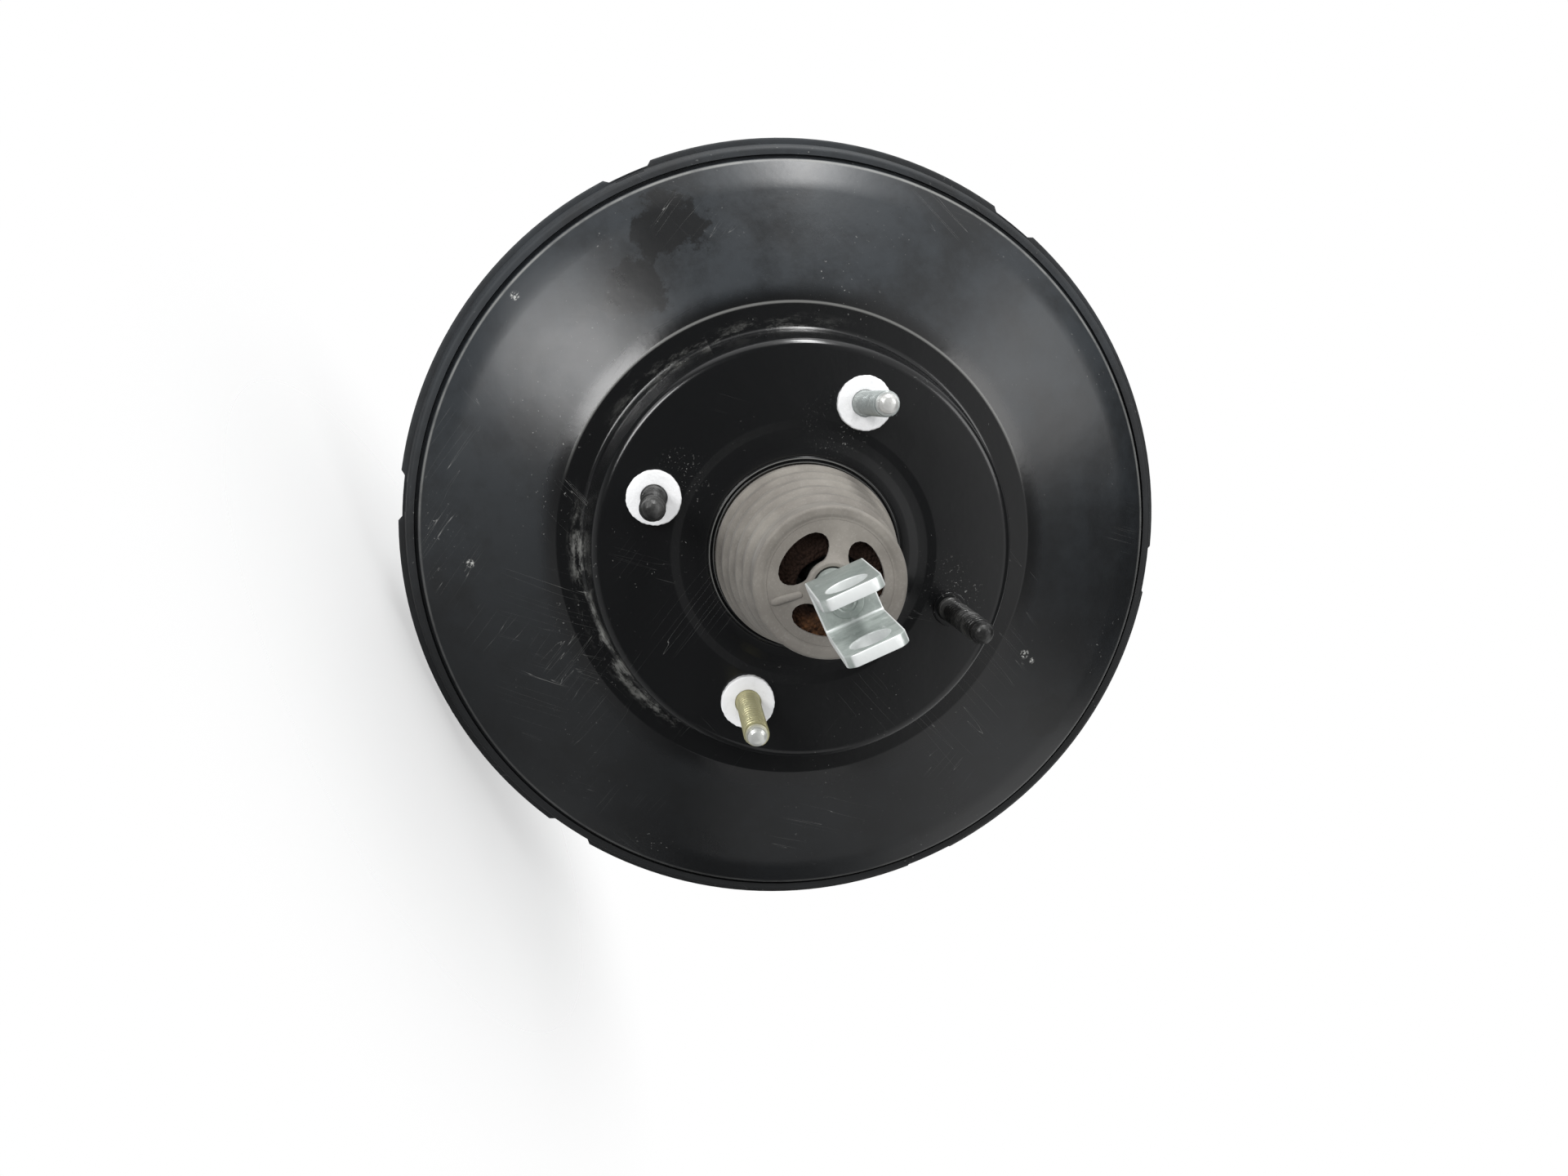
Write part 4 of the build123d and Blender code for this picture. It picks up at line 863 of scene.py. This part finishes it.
def boot_rubber():
    """Warm grey rubber with a chalky bloom, painted shade and dirt in the creases, dark rubbed smears, and painted
    shade towards the lower left.
    """
    finish, tree, shader, place, parts = new_finish("boot_rubber")
    radius = span(tree, parts["X"], parts["Z"])
    bloom = cloud(tree, place, 70.0, 5.0, 0.6)
    shade = mixed(tree, graded(tree, bloom, 0.3, 0.72), (0.165, 0.151, 0.133), (0.240, 0.223, 0.197))
    low_side = figure(tree, "SUBTRACT", parts["X"], times(tree, parts["Z"], 0.8))
    low_side = graded(tree, low_side, -12.0 * mm, 30.0 * mm)
    crease = add(tree, "ShaderNodeAttribute", {}, attribute_name="crease").outputs["Fac"]
    # painted shade and dirt in the creases, heavier towards the lower left of the view
    shade_and_dirt_patches = cloud(tree, place, 130.0, 6.0, 0.7)
    dirt = times(tree, scaled(tree, low_side, 0.95, 0.3), graded(tree, shade_and_dirt_patches, 0.3, 0.62))
    shade = mixed(tree, times(tree, crease, dirt), shade, (0.035, 0.031, 0.028))
    rubbed = graded(tree, cloud(tree, place, 95.0, 5.0, 0.72, (1.0, 0.45, 1.0)), 0.60, 0.74)
    rubbed = times(tree, rubbed, scaled(tree, low_side, 0.6, 0.1))
    shade = mixed(tree, rubbed, shade, (0.05, 0.046, 0.042))
    # painted shade: the boot darker towards the lower left of the view
    shade = mixed(tree, times(tree, low_side, 0.3), shade, (0.085, 0.08, 0.075))
    specks = graded(tree, cloud(tree, place, 1500.0, 2.0, 0.5), 0.56, 0.66)
    at_neck = graded(tree, radius, 29.0 * mm, 29.7 * mm)
    at_neck = times(tree, at_neck, graded(tree, parts["Y"], -6.5 * mm, -4.0 * mm))
    specks = times(tree, specks, scaled(tree, at_neck, 0.6, 0.05))
    shade = mixed(tree, specks, shade, (0.6, 0.6, 0.58))
    sheen = {"Specular IOR Level": 0.3, "Sheen Weight": 0.08}
    wired(tree, shader, {"Base Color": shade, "Roughness": scaled(tree, bloom, 0.2, 0.5), **sheen})
    grain = cloud(tree, place, 900.0, 4.0, 0.6)
    waves = cloud(tree, place, 48.0, 3.0, 0.5, (1.0, 2.6, 1.0))
    relief = scaled(tree, waves, 2.0, times(tree, grain, 0.2))
    bumped(tree, shader, relief, 0.3, 0.0009)
    return finish


rubber = boot_rubber()
boot = turned("boot_bellows", boot_section, around=192)
cap = turned("boot_cap_plate", cap_section, around=192)
cap = cut(cap, *[vent_tool(turn) for turn in vent_turns])
rib_turn = radians(264.0)
rib_profile = ((-1.0, -0.6), (-1.0, 0.4), (-0.62, 1.0), (0.62, 1.0), (1.0, 0.4), (1.0, -0.6))
rib_rows = []
for radius, half_width, height in (
    (8.2, 1.3, 2.9),
    (10.0, 1.25, 2.0),
    (13.0, 1.2, 1.3),
    (16.0, 1.2, 1.0),
    (17.2, 0.95, 0.9),
    (17.8, 0.35, 0.5),
):
    row = []
    for side, lift in rib_profile:
        x = radius * cos(rib_turn) - side * half_width * sin(rib_turn)
        z = radius * sin(rib_turn) + side * half_width * cos(rib_turn)
        row.append((x, cap_face - height * lift, z))
    rib_rows.append(row)
rib = lofted("cap_rib", rib_rows)
rib_soft = rib.modifiers.new("soft", "SUBSURF")
rib_soft.levels = 2
rib_soft.render_levels = 2
cap = joined([cap, settled(rib)])
cap.data.attributes.new("crease", "FLOAT", "POINT")
crease = boot.data.attributes.new("crease", "FLOAT", "POINT")
for vert in boot.data.vertices:
    along = (vert.co.y / mm - first_crest) / (last_crest - first_crest)
    envelope = crest_base - crest_drop * along
    sunk = (envelope - hypot(vert.co.x, vert.co.z) / mm) / crease_depth
    crease.data[vert.index].value = min(1.0, max(0.0, sunk)) ** 2 if -0.1 < along < 1.12 else 0.0
dressed(boot, rubber, None, "boot_rubber", "boot")
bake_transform(boot)
dressed(cap, rubber, None, "boot_rubber", "boot")
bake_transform(cap)

# ---- neck seal, bearing and retainer ------------------------------------------------------
# A lip seal and a plastic guide bearing run on the valve body's tail inside the shell's neck,
# held in by a pressed steel ring.
black_rubber = plain_finish("black_rubber", (0.012, 0.012, 0.012), (0.05, 0.05, 0.048), 0.6, 0.0, 350.0, 0.3, 0.3, 0.35)
acetal = plain_finish("acetal", (0.62, 0.58, 0.48), (0.4, 0.36, 0.28), 0.45, 0.0, 300.0, 0.12, 0.1, 0.3)
oiled_steel = plain_finish("oiled_steel", (0.36, 0.36, 0.355), (0.17, 0.15, 0.13), 0.34, 0.92, 380.0, 0.3, 0.2, 0.4)


def refinished(finish, *nodes):
    """Give a node that is shown as it is its finish."""
    for node in nodes:
        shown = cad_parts[node]
        shown.data.materials.clear()
        shown.data.materials.append(finish)


refinished(black_rubber, "neck_seal")
refinished(acetal, "neck_bearing")
refinished(oiled_steel, "neck_retainer")

# ---- diaphragm ----------------------------------------------------------------------------
# Fabric-backed rubber clamped under the crimp. Its web lies on the plate and moves with it, the
# bead stays in the rim, and the fold between them rolls over as the piston goes forward.
roll_radius = 121.3
roll_station = 65.2
diaphragm_rubber = plain_finish(
    "diaphragm_rubber", (0.014, 0.014, 0.015), (0.04, 0.04, 0.042), 0.62, 0.0, 500.0, 0.3, 0.45, 0.4
)
fabric = 2.0
web_edge = (119.1, 52.0, 0.0)
web_corners = ((36.0, 34.4, 0.0), (50.0, 34.4, 6.0), (104.0, 44.3, 6.0), (118.4, 44.3, 2.4), web_edge)
rim_corners = (
    (roll_radius - 1.9, roll_station - 0.4, 0.0),
    (roll_radius, roll_station + 1.4, 2.6),
    (roll_radius + 4.0, roll_station, 2.2),
    (133.8, 58.4, 0.0),
)
bead_corners = ((133.6, 53.9, 0.6), (137.7, 53.9, 0.8), (138.4, 60.6, 1.0), (137.2, 62.0, 0.8), (133.6, 62.0, 0.8))
hub_corners = ((33.1, 32.6, 0.5), (38.0, 32.6, 0.8), (38.0, 36.4, 0.5), (33.1, 36.4, 0.5))
web = turned("diaphragm_web", sheet_section(web_corners, fabric))
web = joined([web, turned("hub_bead", rounded(hub_corners))])
dressed(web, diaphragm_rubber, "power_piston", "black_rubber", "diaphragm")
fold = turned("diaphragm_fold", sheet_section((web_edge, (roll_radius, roll_station, 0.0)), fabric))
dressed(fold, diaphragm_rubber, None, "black_rubber", "diaphragm")
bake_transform(fold)
rim = turned("diaphragm_rim", sheet_section(rim_corners, fabric))
rim = joined([rim, turned("rim_bead", rounded(bead_corners))])
dressed(rim, diaphragm_rubber, "housing", "black_rubber", "diaphragm")

# ---- valve body, diaphragm plate and output rod -------------------------------------------
# The power piston: a moulded phenolic body carrying the pressed plate, with the rubber reaction
# disc, the headed output rod and its adjusting screw held in its nose by a thin cap.
phenolic = plain_finish("phenolic", (0.035, 0.028, 0.022), (0.09, 0.075, 0.06), 0.5, 0.0, 420.0, 0.35, 0.25, 0.3)
zinc_plate = plain_finish("zinc_plate", (0.52, 0.54, 0.52), (0.33, 0.33, 0.30), 0.4, 0.85, 240.0, 0.25, 0.15, 0.4)
refinished(phenolic, "valve_body")
refinished(zinc_plate, "diaphragm_plate")
refinished(oiled_steel, "plate_retainer", "output_rod", "output_rod_tip", "output_rod_retainer", "plunger_key")
refinished(black_rubber, "reaction_disc")

# ---- valve plunger and poppet -------------------------------------------------------------
# The turned plunger takes the input rod's ball. The rubber poppet behind it opens and closes the
# air and vacuum passages, hung on a thin sleeve from a pressed retainer.
refinished(oiled_steel, "valve_plunger", "poppet_retainer")
refinished(black_rubber, "poppet_disc", "poppet_sleeve")

# ---- air filter and silencer --------------------------------------------------------------
# A ring of coarse brown foam behind the boot's vents, with a felt ring in front of it. Both fill
# the tail tube and clean the air that enters when the brake is pressed.


def filter_foam():
    """Open-cell foam with painted shade in its open cells, gone orange where rust dust has settled."""
    finish, tree, shader, place, parts = new_finish("filter_foam")
    cells = add(tree, "ShaderNodeTexVoronoi", {"Vector": place, "Scale": 900.0}, feature="F1").outputs["Distance"]
    fluff = cloud(tree, place, 260.0, 6.0, 0.7)
    rusty = graded(tree, cloud(tree, place, 150.0, 5.0, 0.6), 0.38, 0.68)
    rusty = times(tree, rusty, graded(tree, parts["X"], 2.0 * mm, 11.0 * mm))
    shade = mixed(tree, fluff, (0.017, 0.010, 0.008), (0.036, 0.020, 0.014))
    shade = mixed(tree, rusty, shade, (0.20, 0.088, 0.036))
    # painted shade in the open cells
    pore_shade = times(tree, graded(tree, cells, 0.2, 0.75), 0.35)
    base = mixed(tree, pore_shade, shade, (0.012, 0.008, 0.006))
    wired(tree, shader, {"Base Color": base, "Roughness": 0.95, "Specular IOR Level": 0.15})
    bumped(tree, shader, figure(tree, "SUBTRACT", fluff, cells), 0.9, 0.0012)
    return finish


foam = filter_foam()
felt = plain_finish("silencer_felt", (0.16, 0.15, 0.135), (0.09, 0.08, 0.07), 0.95, 0.0, 700.0, 0.5, 0.6, 0.5)
filter_bore = 7.0
filter_radius = 17.0
rod_room_depth = 2.5


def rod_room(radius, station, angle):
    """The bore of a filter ring, wider up and down where the rod presses it aside."""
    return radius + rod_room_depth * sin(radians(angle)) ** 2 if radius < filter_bore + 2.0 else radius


def filter_ring(name, rear, front, rear_bend):
    """A soft ring that fills the tail tube between two stations."""
    section = (
        (filter_bore, rear, 0.8),
        (filter_radius, rear, rear_bend),
        (filter_radius, front, 0.6),
        (filter_bore, front, 0.6),
    )
    return turned(name, rounded(section), around=180, radius_at=rod_room)


foam_ring = filter_ring("air_filter_foam", -59.0, -45.7, 1.6)
for vert in foam_ring.data.vertices:
    turn = atan2(vert.co.z, vert.co.x)
    reach = hypot(vert.co.x, vert.co.z) / mm
    swell = 0.35 * sin(5 * turn + 1.0) + 0.25 * sin(13 * turn) * cos(reach * 1.7)
    if vert.co.y < -0.057:
        vert.co.y += (0.3 + max(0.0, swell)) * mm
dressed(foam_ring, foam, "power_piston", "filter_foam", "air_filter")
dressed(filter_ring("silencer_ring", -45.4, -39.6, 0.6), felt, "power_piston", "silencer_felt", "filter_silencer")

# ---- input rod and spring cup -------------------------------------------------------------
# A cold-headed rod: its ball sits in the plunger, and its far end has a shoulder and a tenon that
# is spun over in the clevis, leaving rings and a small centre pip in the head.
clevis_web = -92.0
pin_station = -114.3
pin_radius = 5.1
rod_corners = (
    (0.0, 24.2, 0.0),
    (4.6, 23.4, 4.4),
    (5.2, 19.0, 3.0),
    (3.9, 14.6, 1.4),
    (3.6, 8.0, 1.5),
    (5.0, 5.2, 1.5),
    (5.0, -25.0, 0.6),
    (6.0, -26.0, 0.3),
    (6.0, -27.6, 0.3),
    (5.0, -28.6, 0.6),
    (5.0, -83.9, 1.5),
    (7.0, -86.0, 0.5),
    (7.0, -88.95, 0.0),
    (4.0, -88.95, 0.0),
    (4.0, clevis_web - 0.02, 0.0),
    (4.6, clevis_web - 0.02, 0.1),
    (4.4, clevis_web - 0.3, 0.3),
    (2.9, clevis_web - 0.35, 0.3),
    (2.5, clevis_web - 0.12, 0.2),
    (2.0, clevis_web - 0.55, 0.3),
    (1.1, clevis_web - 0.3, 0.3),
    (0.6, clevis_web - 0.35, 0.1),
    (0.35, clevis_web - 0.65, 0.1),
    (0.0, clevis_web - 0.65, 0.0),
)


def zinc_strap():
    """Greenish-grey zinc on pressed steel, with bright rubbed places, dull stains, outer faces painted darker and
    painted highlights on its edges, folds and pin holes.
    """
    finish, tree, shader, place, parts = new_finish("zinc_strap")
    stain = graded(tree, cloud(tree, place, 95.0, 6.0, 0.68), 0.36, 0.7)
    rubbed = graded(tree, cloud(tree, place, 160.0, 5.0, 0.7, (1.0, 1.0, 2.2)), 0.55, 0.74)
    fine = cloud(tree, place, 900.0, 4.0, 0.6)
    shade = mixed(tree, stain, (0.56, 0.61, 0.58), (0.29, 0.33, 0.31))
    shade = mixed(tree, times(tree, rubbed, 0.7), shade, (0.85, 0.88, 0.86))
    shade = mixed(tree, times(tree, fine, 0.3), shade, (0.12, 0.13, 0.12))
    # the outer faces are painted darker, and the edges, folds and the pin holes' walls carry painted highlights
    outside = figure(tree, "ABSOLUTE", parts["X"])
    # the outer faces painted darker
    shade = mixed(tree, graded(tree, outside, 8.55 * mm, 8.72 * mm, 0.0, 0.55), shade, (0.16, 0.185, 0.17))
    wide = figure(tree, "ABSOLUTE", parts["Z"])
    edge = graded(tree, wide, 7.45 * mm, 7.85 * mm)
    edge = largest(tree, edge, graded(tree, parts["Y"], -121.3 * mm, -121.75 * mm))
    fold_x = figure(tree, "ABSOLUTE", figure(tree, "SUBTRACT", outside, 5.45 * mm))
    folded = times(tree, graded(tree, fold_x, 0.42 * mm, 0.1 * mm), graded(tree, parts["Y"], -96.4 * mm, -95.6 * mm))
    from_pin = figure(tree, "SUBTRACT", parts["Y"], pin_station * mm)
    bored = graded(tree, span(tree, from_pin, wide), (pin_radius + 0.5) * mm, (pin_radius + 0.1) * mm)
    edge = largest(tree, edge, times(tree, folded, 0.8), times(tree, bored, 0.8))
    # painted highlight colour on the edges, folds and pin holes' walls
    shade = mixed(tree, times(tree, edge, 0.85), shade, (0.93, 0.95, 0.94))
    gloss = scaled(tree, fine, 0.12, scaled(tree, stain, 0.16, 0.3))
    wired(tree, shader, {"Base Color": shade, "Roughness": gloss, "Metallic": 0.35})
    waves = cloud(tree, place, 210.0, 3.0, 0.5)
    bumped(tree, shader, scaled(tree, waves, 1.0, times(tree, fine, 0.3)), 0.2, 0.0006)
    return finish


strap_zinc = zinc_strap()
rod = turned("input_rod_headed", rounded(rod_corners), around=64)
dressed(rod, strap_zinc, "input_rod", "zinc_steel", "input_rod")
refinished(oiled_steel, "spring_cup")

# ---- clevis -------------------------------------------------------------------------------
# A fork blanked and folded from 3 mm strap and zinc plated. Its ears have rounded corners and a
# hole each for the pedal pin, and its web is riveted on by the rod's tenon.
strap = 3.0
fork_outside = 8.75
fork_end = -122.0
ear_corner = 3.4
half_width = 8.0
outer_bend = 4.2
tenon_hole = 4.1
web_face = clevis_web + strap


def strap_path(inset):
    """Line of the folded strap in plan, at a depth inside its outer face."""
    bend = outer_bend - inset
    path = [(fork_outside - inset, fork_end + drop) for drop in (0.0, 0.25, 0.7, 1.4, 2.3, 3.4)]
    for step in range(9):
        turn = pi / 2 * step / 8
        along = web_face - outer_bend + bend * sin(turn)
        path.append((fork_outside - outer_bend + bend * cos(turn), along))
    return path + [(-x, y) for x, y in path[::-1]]


def width_at(station):
    """Half width of the strap, falling off round the corners of an ear."""
    left = station - fork_end
    if left >= ear_corner:
        return half_width
    return half_width - ear_corner + (ear_corner**2 - (ear_corner - left) ** 2) ** 0.5


strap_rows = []
for outer_point, inner_point in zip(strap_path(0.0), strap_path(strap)):
    half = width_at(outer_point[1])
    ring_points = ((outer_point, -1), (outer_point, 1), (inner_point, 1), (inner_point, -1))
    strap_rows.append([(x, y, side * half) for (x, y), side in ring_points])
fork = lofted("clevis_fork", strap_rows)
pin_turns = [2 * pi * step / 48 for step in range(48)]
pin_line = [(pin_station + pin_radius * cos(turn), pin_radius * sin(turn)) for turn in pin_turns]
pin_rows = [[(end, y, z) for y, z in pin_line] for end in (-20.0, 20.0)]
tenon_tool = bore_tool(tenon_hole, clevis_web + strap / 2 - 4.0, clevis_web + strap / 2 + 4.0, around=48)
fork = cut(fork, lofted("pin_tool", pin_rows), tenon_tool)
edges = fork.modifiers.new("broken_edges", "BEVEL")
edges.width = 0.55 * mm
edges.segments = 3
edges.limit_method = "ANGLE"
edges.angle_limit = radians(50.0)
fork = settled(fork)
dressed(fork, strap_zinc, "input_rod", "zinc_steel", "clevis")

# ---- coil springs -------------------------------------------------------------------------
# Wound spring wire with closed end turns: the large return spring, the two light valve springs
# on the input rod and the check valve's small one.
spring_wire = plain_finish("spring_wire", (0.16, 0.165, 0.175), (0.10, 0.09, 0.085), 0.36, 0.9, 500.0, 0.3, 0.15, 0.35)


def spring(name, node, mean, wire, turns, rear, front, body, joint, anchor, travel, z=0.0):
    """A coil between two stations; its joint is not used."""
    length = front - rear - 2 * wire
    piece = grown(
        name,
        wound,
        Finish=spring_wire,
        Centre=(0.0, (rear + wire) * mm, z * mm),
        Mean_Radius=mean * mm,
        Wire_Radius=wire * mm,
        Turns=float(turns),
        Closed_Turns=1.0,
        Closed_Pitch=(2 * wire + 0.06) * mm,
        Length=length * mm,
        Runs=turns * 36,
        Sides=12,
    )
    dressed(piece, spring_wire, body, "spring_steel", node)
    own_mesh(piece)


spring("return_spring_coil", "return_spring", 33.5, 1.6, 6, 43.1, 107.3, "housing", "piston_slide", 107.3, 38.0)
spring("rod_spring_coil", "rod_spring", 10.6, 0.7, 5, -23.9, -0.9, "input_rod", "plunger_slide", -23.9, 1.5)
spring("poppet_spring_coil", "poppet_spring", 8.8, 0.5, 5, -23.9, 10.9, "input_rod", "plunger_slide", -23.9, 0.75)
check_spring = ("check_valve_spring_coil", "check_valve_spring", 4.0, 0.5, 5, 111.1, 118.0)
spring(*check_spring, "housing", "check_valve_slide", 118.0, 1.5, z=valve_offset)

# ---- master cylinder side -----------------------------------------------------------------
# A thick ring stiffens the front face from inside and holds two plated studs for the master
# cylinder, whose nose is sealed in the pocket by a lipped rubber ring.
cylinder_stud_corners = (
    (0.0, 104.1, 0.0),
    (5.6, 104.1, 0.6),
    (5.6, 107.3, 0.0),
    (3.98, 107.4, 0.0),
    (3.98, 114.0, 0.3),
    (thread_core, 115.2, 0.0),
    (thread_core, 134.6, 0.0),
    (thread_core - 0.8, 135.9, 0.2),
    (0.0, 136.0, 0.0),
)
made = []
for x in (-cylinder_stud_reach, cylinder_stud_reach):
    shaft = turned("master_cylinder_stud_shaft", rounded(cylinder_stud_corners), around=40, centre=(x, 0.0))
    made.append(threaded("master_cylinder_stud", shaft, bright_zinc, x, 0.0, 115.2, 134.4))
cylinder_studs = joined(made)
cylinder_studs.name = "master_cylinder_studs_threaded"
dressed(cylinder_studs, bright_zinc, "housing", "zinc_stud", "master_cylinder_studs")
refinished(oiled_steel, "front_reinforcement_plate")
refinished(black_rubber, "master_cylinder_seal")

# ---- vacuum check valve -------------------------------------------------------------------
# A moulded nylon elbow pushed through a rubber grommet, with hose barbs on its nipple and a
# rubber disc on its seat inside.
nylon = plain_finish("nylon", (0.016, 0.016, 0.017), (0.05, 0.05, 0.05), 0.4, 0.0, 300.0, 0.3, 0.15, 0.25)
refinished(nylon, "check_valve_body")
refinished(black_rubber, "check_valve_grommet", "check_valve_disc")

# ---- floor, light and camera --------------------------------------------------------------
# A pale floor that fades out, a soft key lamp high on the left with a window and strips above,
# lamps on the right, below and behind, and a dark tent that keeps the flat face deep black.
camera_place = Vector((-64.6, -384.1, -20.4)) * mm
forward = Vector((0.1844, 0.9825, 0.0243)).normalized()
right = Vector((0.4001, -0.0976, 0.9113))
right = (right - forward * right.dot(forward)).normalized()
upward = right.cross(forward)
focus = Vector((0.0, 30.0, 0.0)) * mm

world = bpy.data.worlds.new("studio")
bpy.context.scene.world = world
world.use_nodes = True
tree = world.node_tree
tree.nodes.clear()
path = add(tree, "ShaderNodeLightPath").outputs
seen = largest(tree, path["Is Camera Ray"], path["Is Transmission Ray"])
seen = largest(tree, seen, path["Is Glossy Ray"])
white = add(tree, "ShaderNodeBackground", {"Color": (1.0, 1.0, 1.0, 1.0), "Strength": 1.0}).outputs[0]
soft = add(tree, "ShaderNodeBackground", {"Color": (0.97, 0.985, 1.0, 1.0), "Strength": 0.55}).outputs[0]
shown = add(tree, "ShaderNodeMixShader", {0: seen, 1: soft, 2: white}).outputs[0]
add(tree, "ShaderNodeOutputWorld", {0: shown})


def soft_lamp(name, side, high, near, away, wide, tall, power):
    """A rectangular soft box, placed by its direction from the object as the camera sees it."""
    direction = (right * side + upward * high - forward * near).normalized()
    lamp = bpy.data.lights.new(name, "AREA")
    lamp.shape = "RECTANGLE"
    lamp.size = wide
    lamp.size_y = tall
    lamp.energy = power
    holder = placed(name, lamp)
    holder.location = focus + direction * away
    holder.rotation_euler = direction.to_track_quat("Z", "Y").to_euler()
    return holder


soft_lamp("key_lamp", -0.47, 0.31, 0.83, 1.1, 0.3, 0.38, 4.5)
soft_lamp("overhead_strip", 0.14, 0.95, 0.3, 1.1, 0.8, 0.13, 7.0)
soft_lamp("left_window", -0.6, 0.52, 0.6, 1.2, 0.4, 0.3, 1.1)
soft_lamp("low_fill", 0.1, -0.88, 0.45, 1.2, 0.7, 0.5, 0.5)
soft_lamp("brow_strip", 0.1, 0.3, 0.95, 1.1, 0.6, 0.11, 1.7).visible_glossy = False
soft_lamp("right_lamp", 0.79, 0.23, 0.57, 1.2, 0.5, 0.6, 3.0)
soft_lamp("back_lamp", -0.3, 0.6, -0.75, 1.3, 0.8, 0.8, 8.0).visible_glossy = False


def thinned(tree, shader, share):
    """Let a surface fade to clear by a share."""
    clear = add(tree, "ShaderNodeBsdfTransparent").outputs[0]
    laid = add(tree, "ShaderNodeMixShader", {0: share, 1: shader.outputs[0], 2: clear}).outputs[0]
    tree.links.new(laid, tree.nodes["Material Output"].inputs["Surface"])


def dark_cloth(name, shade):
    """A dark cloth that only reflections see, thinning out towards the top and the back."""
    cloth, tree, shader, place, parts = new_finish(name)
    wired(tree, shader, {"Base Color": (shade, shade, shade, 1.0), "Roughness": 0.9})
    high, away, aside = (
        add(tree, "ShaderNodeVectorMath", {0: place, 1: tuple(way)}, operation="DOT_PRODUCT").outputs["Value"]
        for way in (upward, forward, right)
    )
    open_side = times(tree, graded(tree, aside, 0.15, 0.85), graded(tree, aside, 1.25, 1.05), 0.75)
    thinned(tree, shader, largest(tree, graded(tree, high, 0.95, 1.3), graded(tree, away, 0.9, 1.3), open_side))
    return cloth


tent_shape = bmesh.new()
bmesh.ops.create_icosphere(tent_shape, subdivisions=5, radius=1.4)
bmesh.ops.translate(tent_shape, verts=tent_shape.verts, vec=focus)
tent_mesh = bpy.data.meshes.new("dark_tent")
tent_shape.to_mesh(tent_mesh)
tent_shape.free()
tent = placed("dark_tent", tent_mesh)
tent_mesh.materials.append(dark_cloth("dark_cloth", 0.05))
tent.visible_camera = tent.visible_diffuse = tent.visible_shadow = tent.visible_transmission = False

floor_sides = 96
floor_reach = 0.9
floor_middle = (0.0, 0.05, cad_box[0][2] - 0.0005)
floor_verts = [floor_middle]
floor_faces = []
for step in range(floor_sides):
    turn = 2 * pi * step / floor_sides
    floor_verts.append((floor_reach * cos(turn), floor_middle[1] + floor_reach * sin(turn), floor_middle[2]))
    floor_faces.append((0, step + 1, (step + 1) % floor_sides + 1))
mesh = bpy.data.meshes.new("floor")
mesh.from_pydata(floor_verts, [], floor_faces)
floor = placed("floor", mesh)
pale, tree, shader, place, parts = new_finish("pale_floor")
wired(tree, shader, {"Base Color": (0.9, 0.9, 0.9, 1.0), "Roughness": 0.9})
from_middle = add(tree, "ShaderNodeVectorMath", {0: place, 1: floor_middle}, operation="DISTANCE").outputs["Value"]
thinned(tree, shader, graded(tree, from_middle, 0.06, 0.2, 0.5, 1.0))
mesh.materials.append(pale)

camera = placed("camera", bpy.data.cameras.new("camera"))
camera.data.lens = 27.0
camera.data.sensor_width = 36.0
camera.data.clip_start = 0.01
turned_to = Matrix((right, upward, -forward)).transposed().to_4x4()
camera.matrix_world = Matrix.Translation(camera_place) @ turned_to
bpy.context.scene.camera = camera
bpy.context.scene.view_settings.view_transform = "Standard"
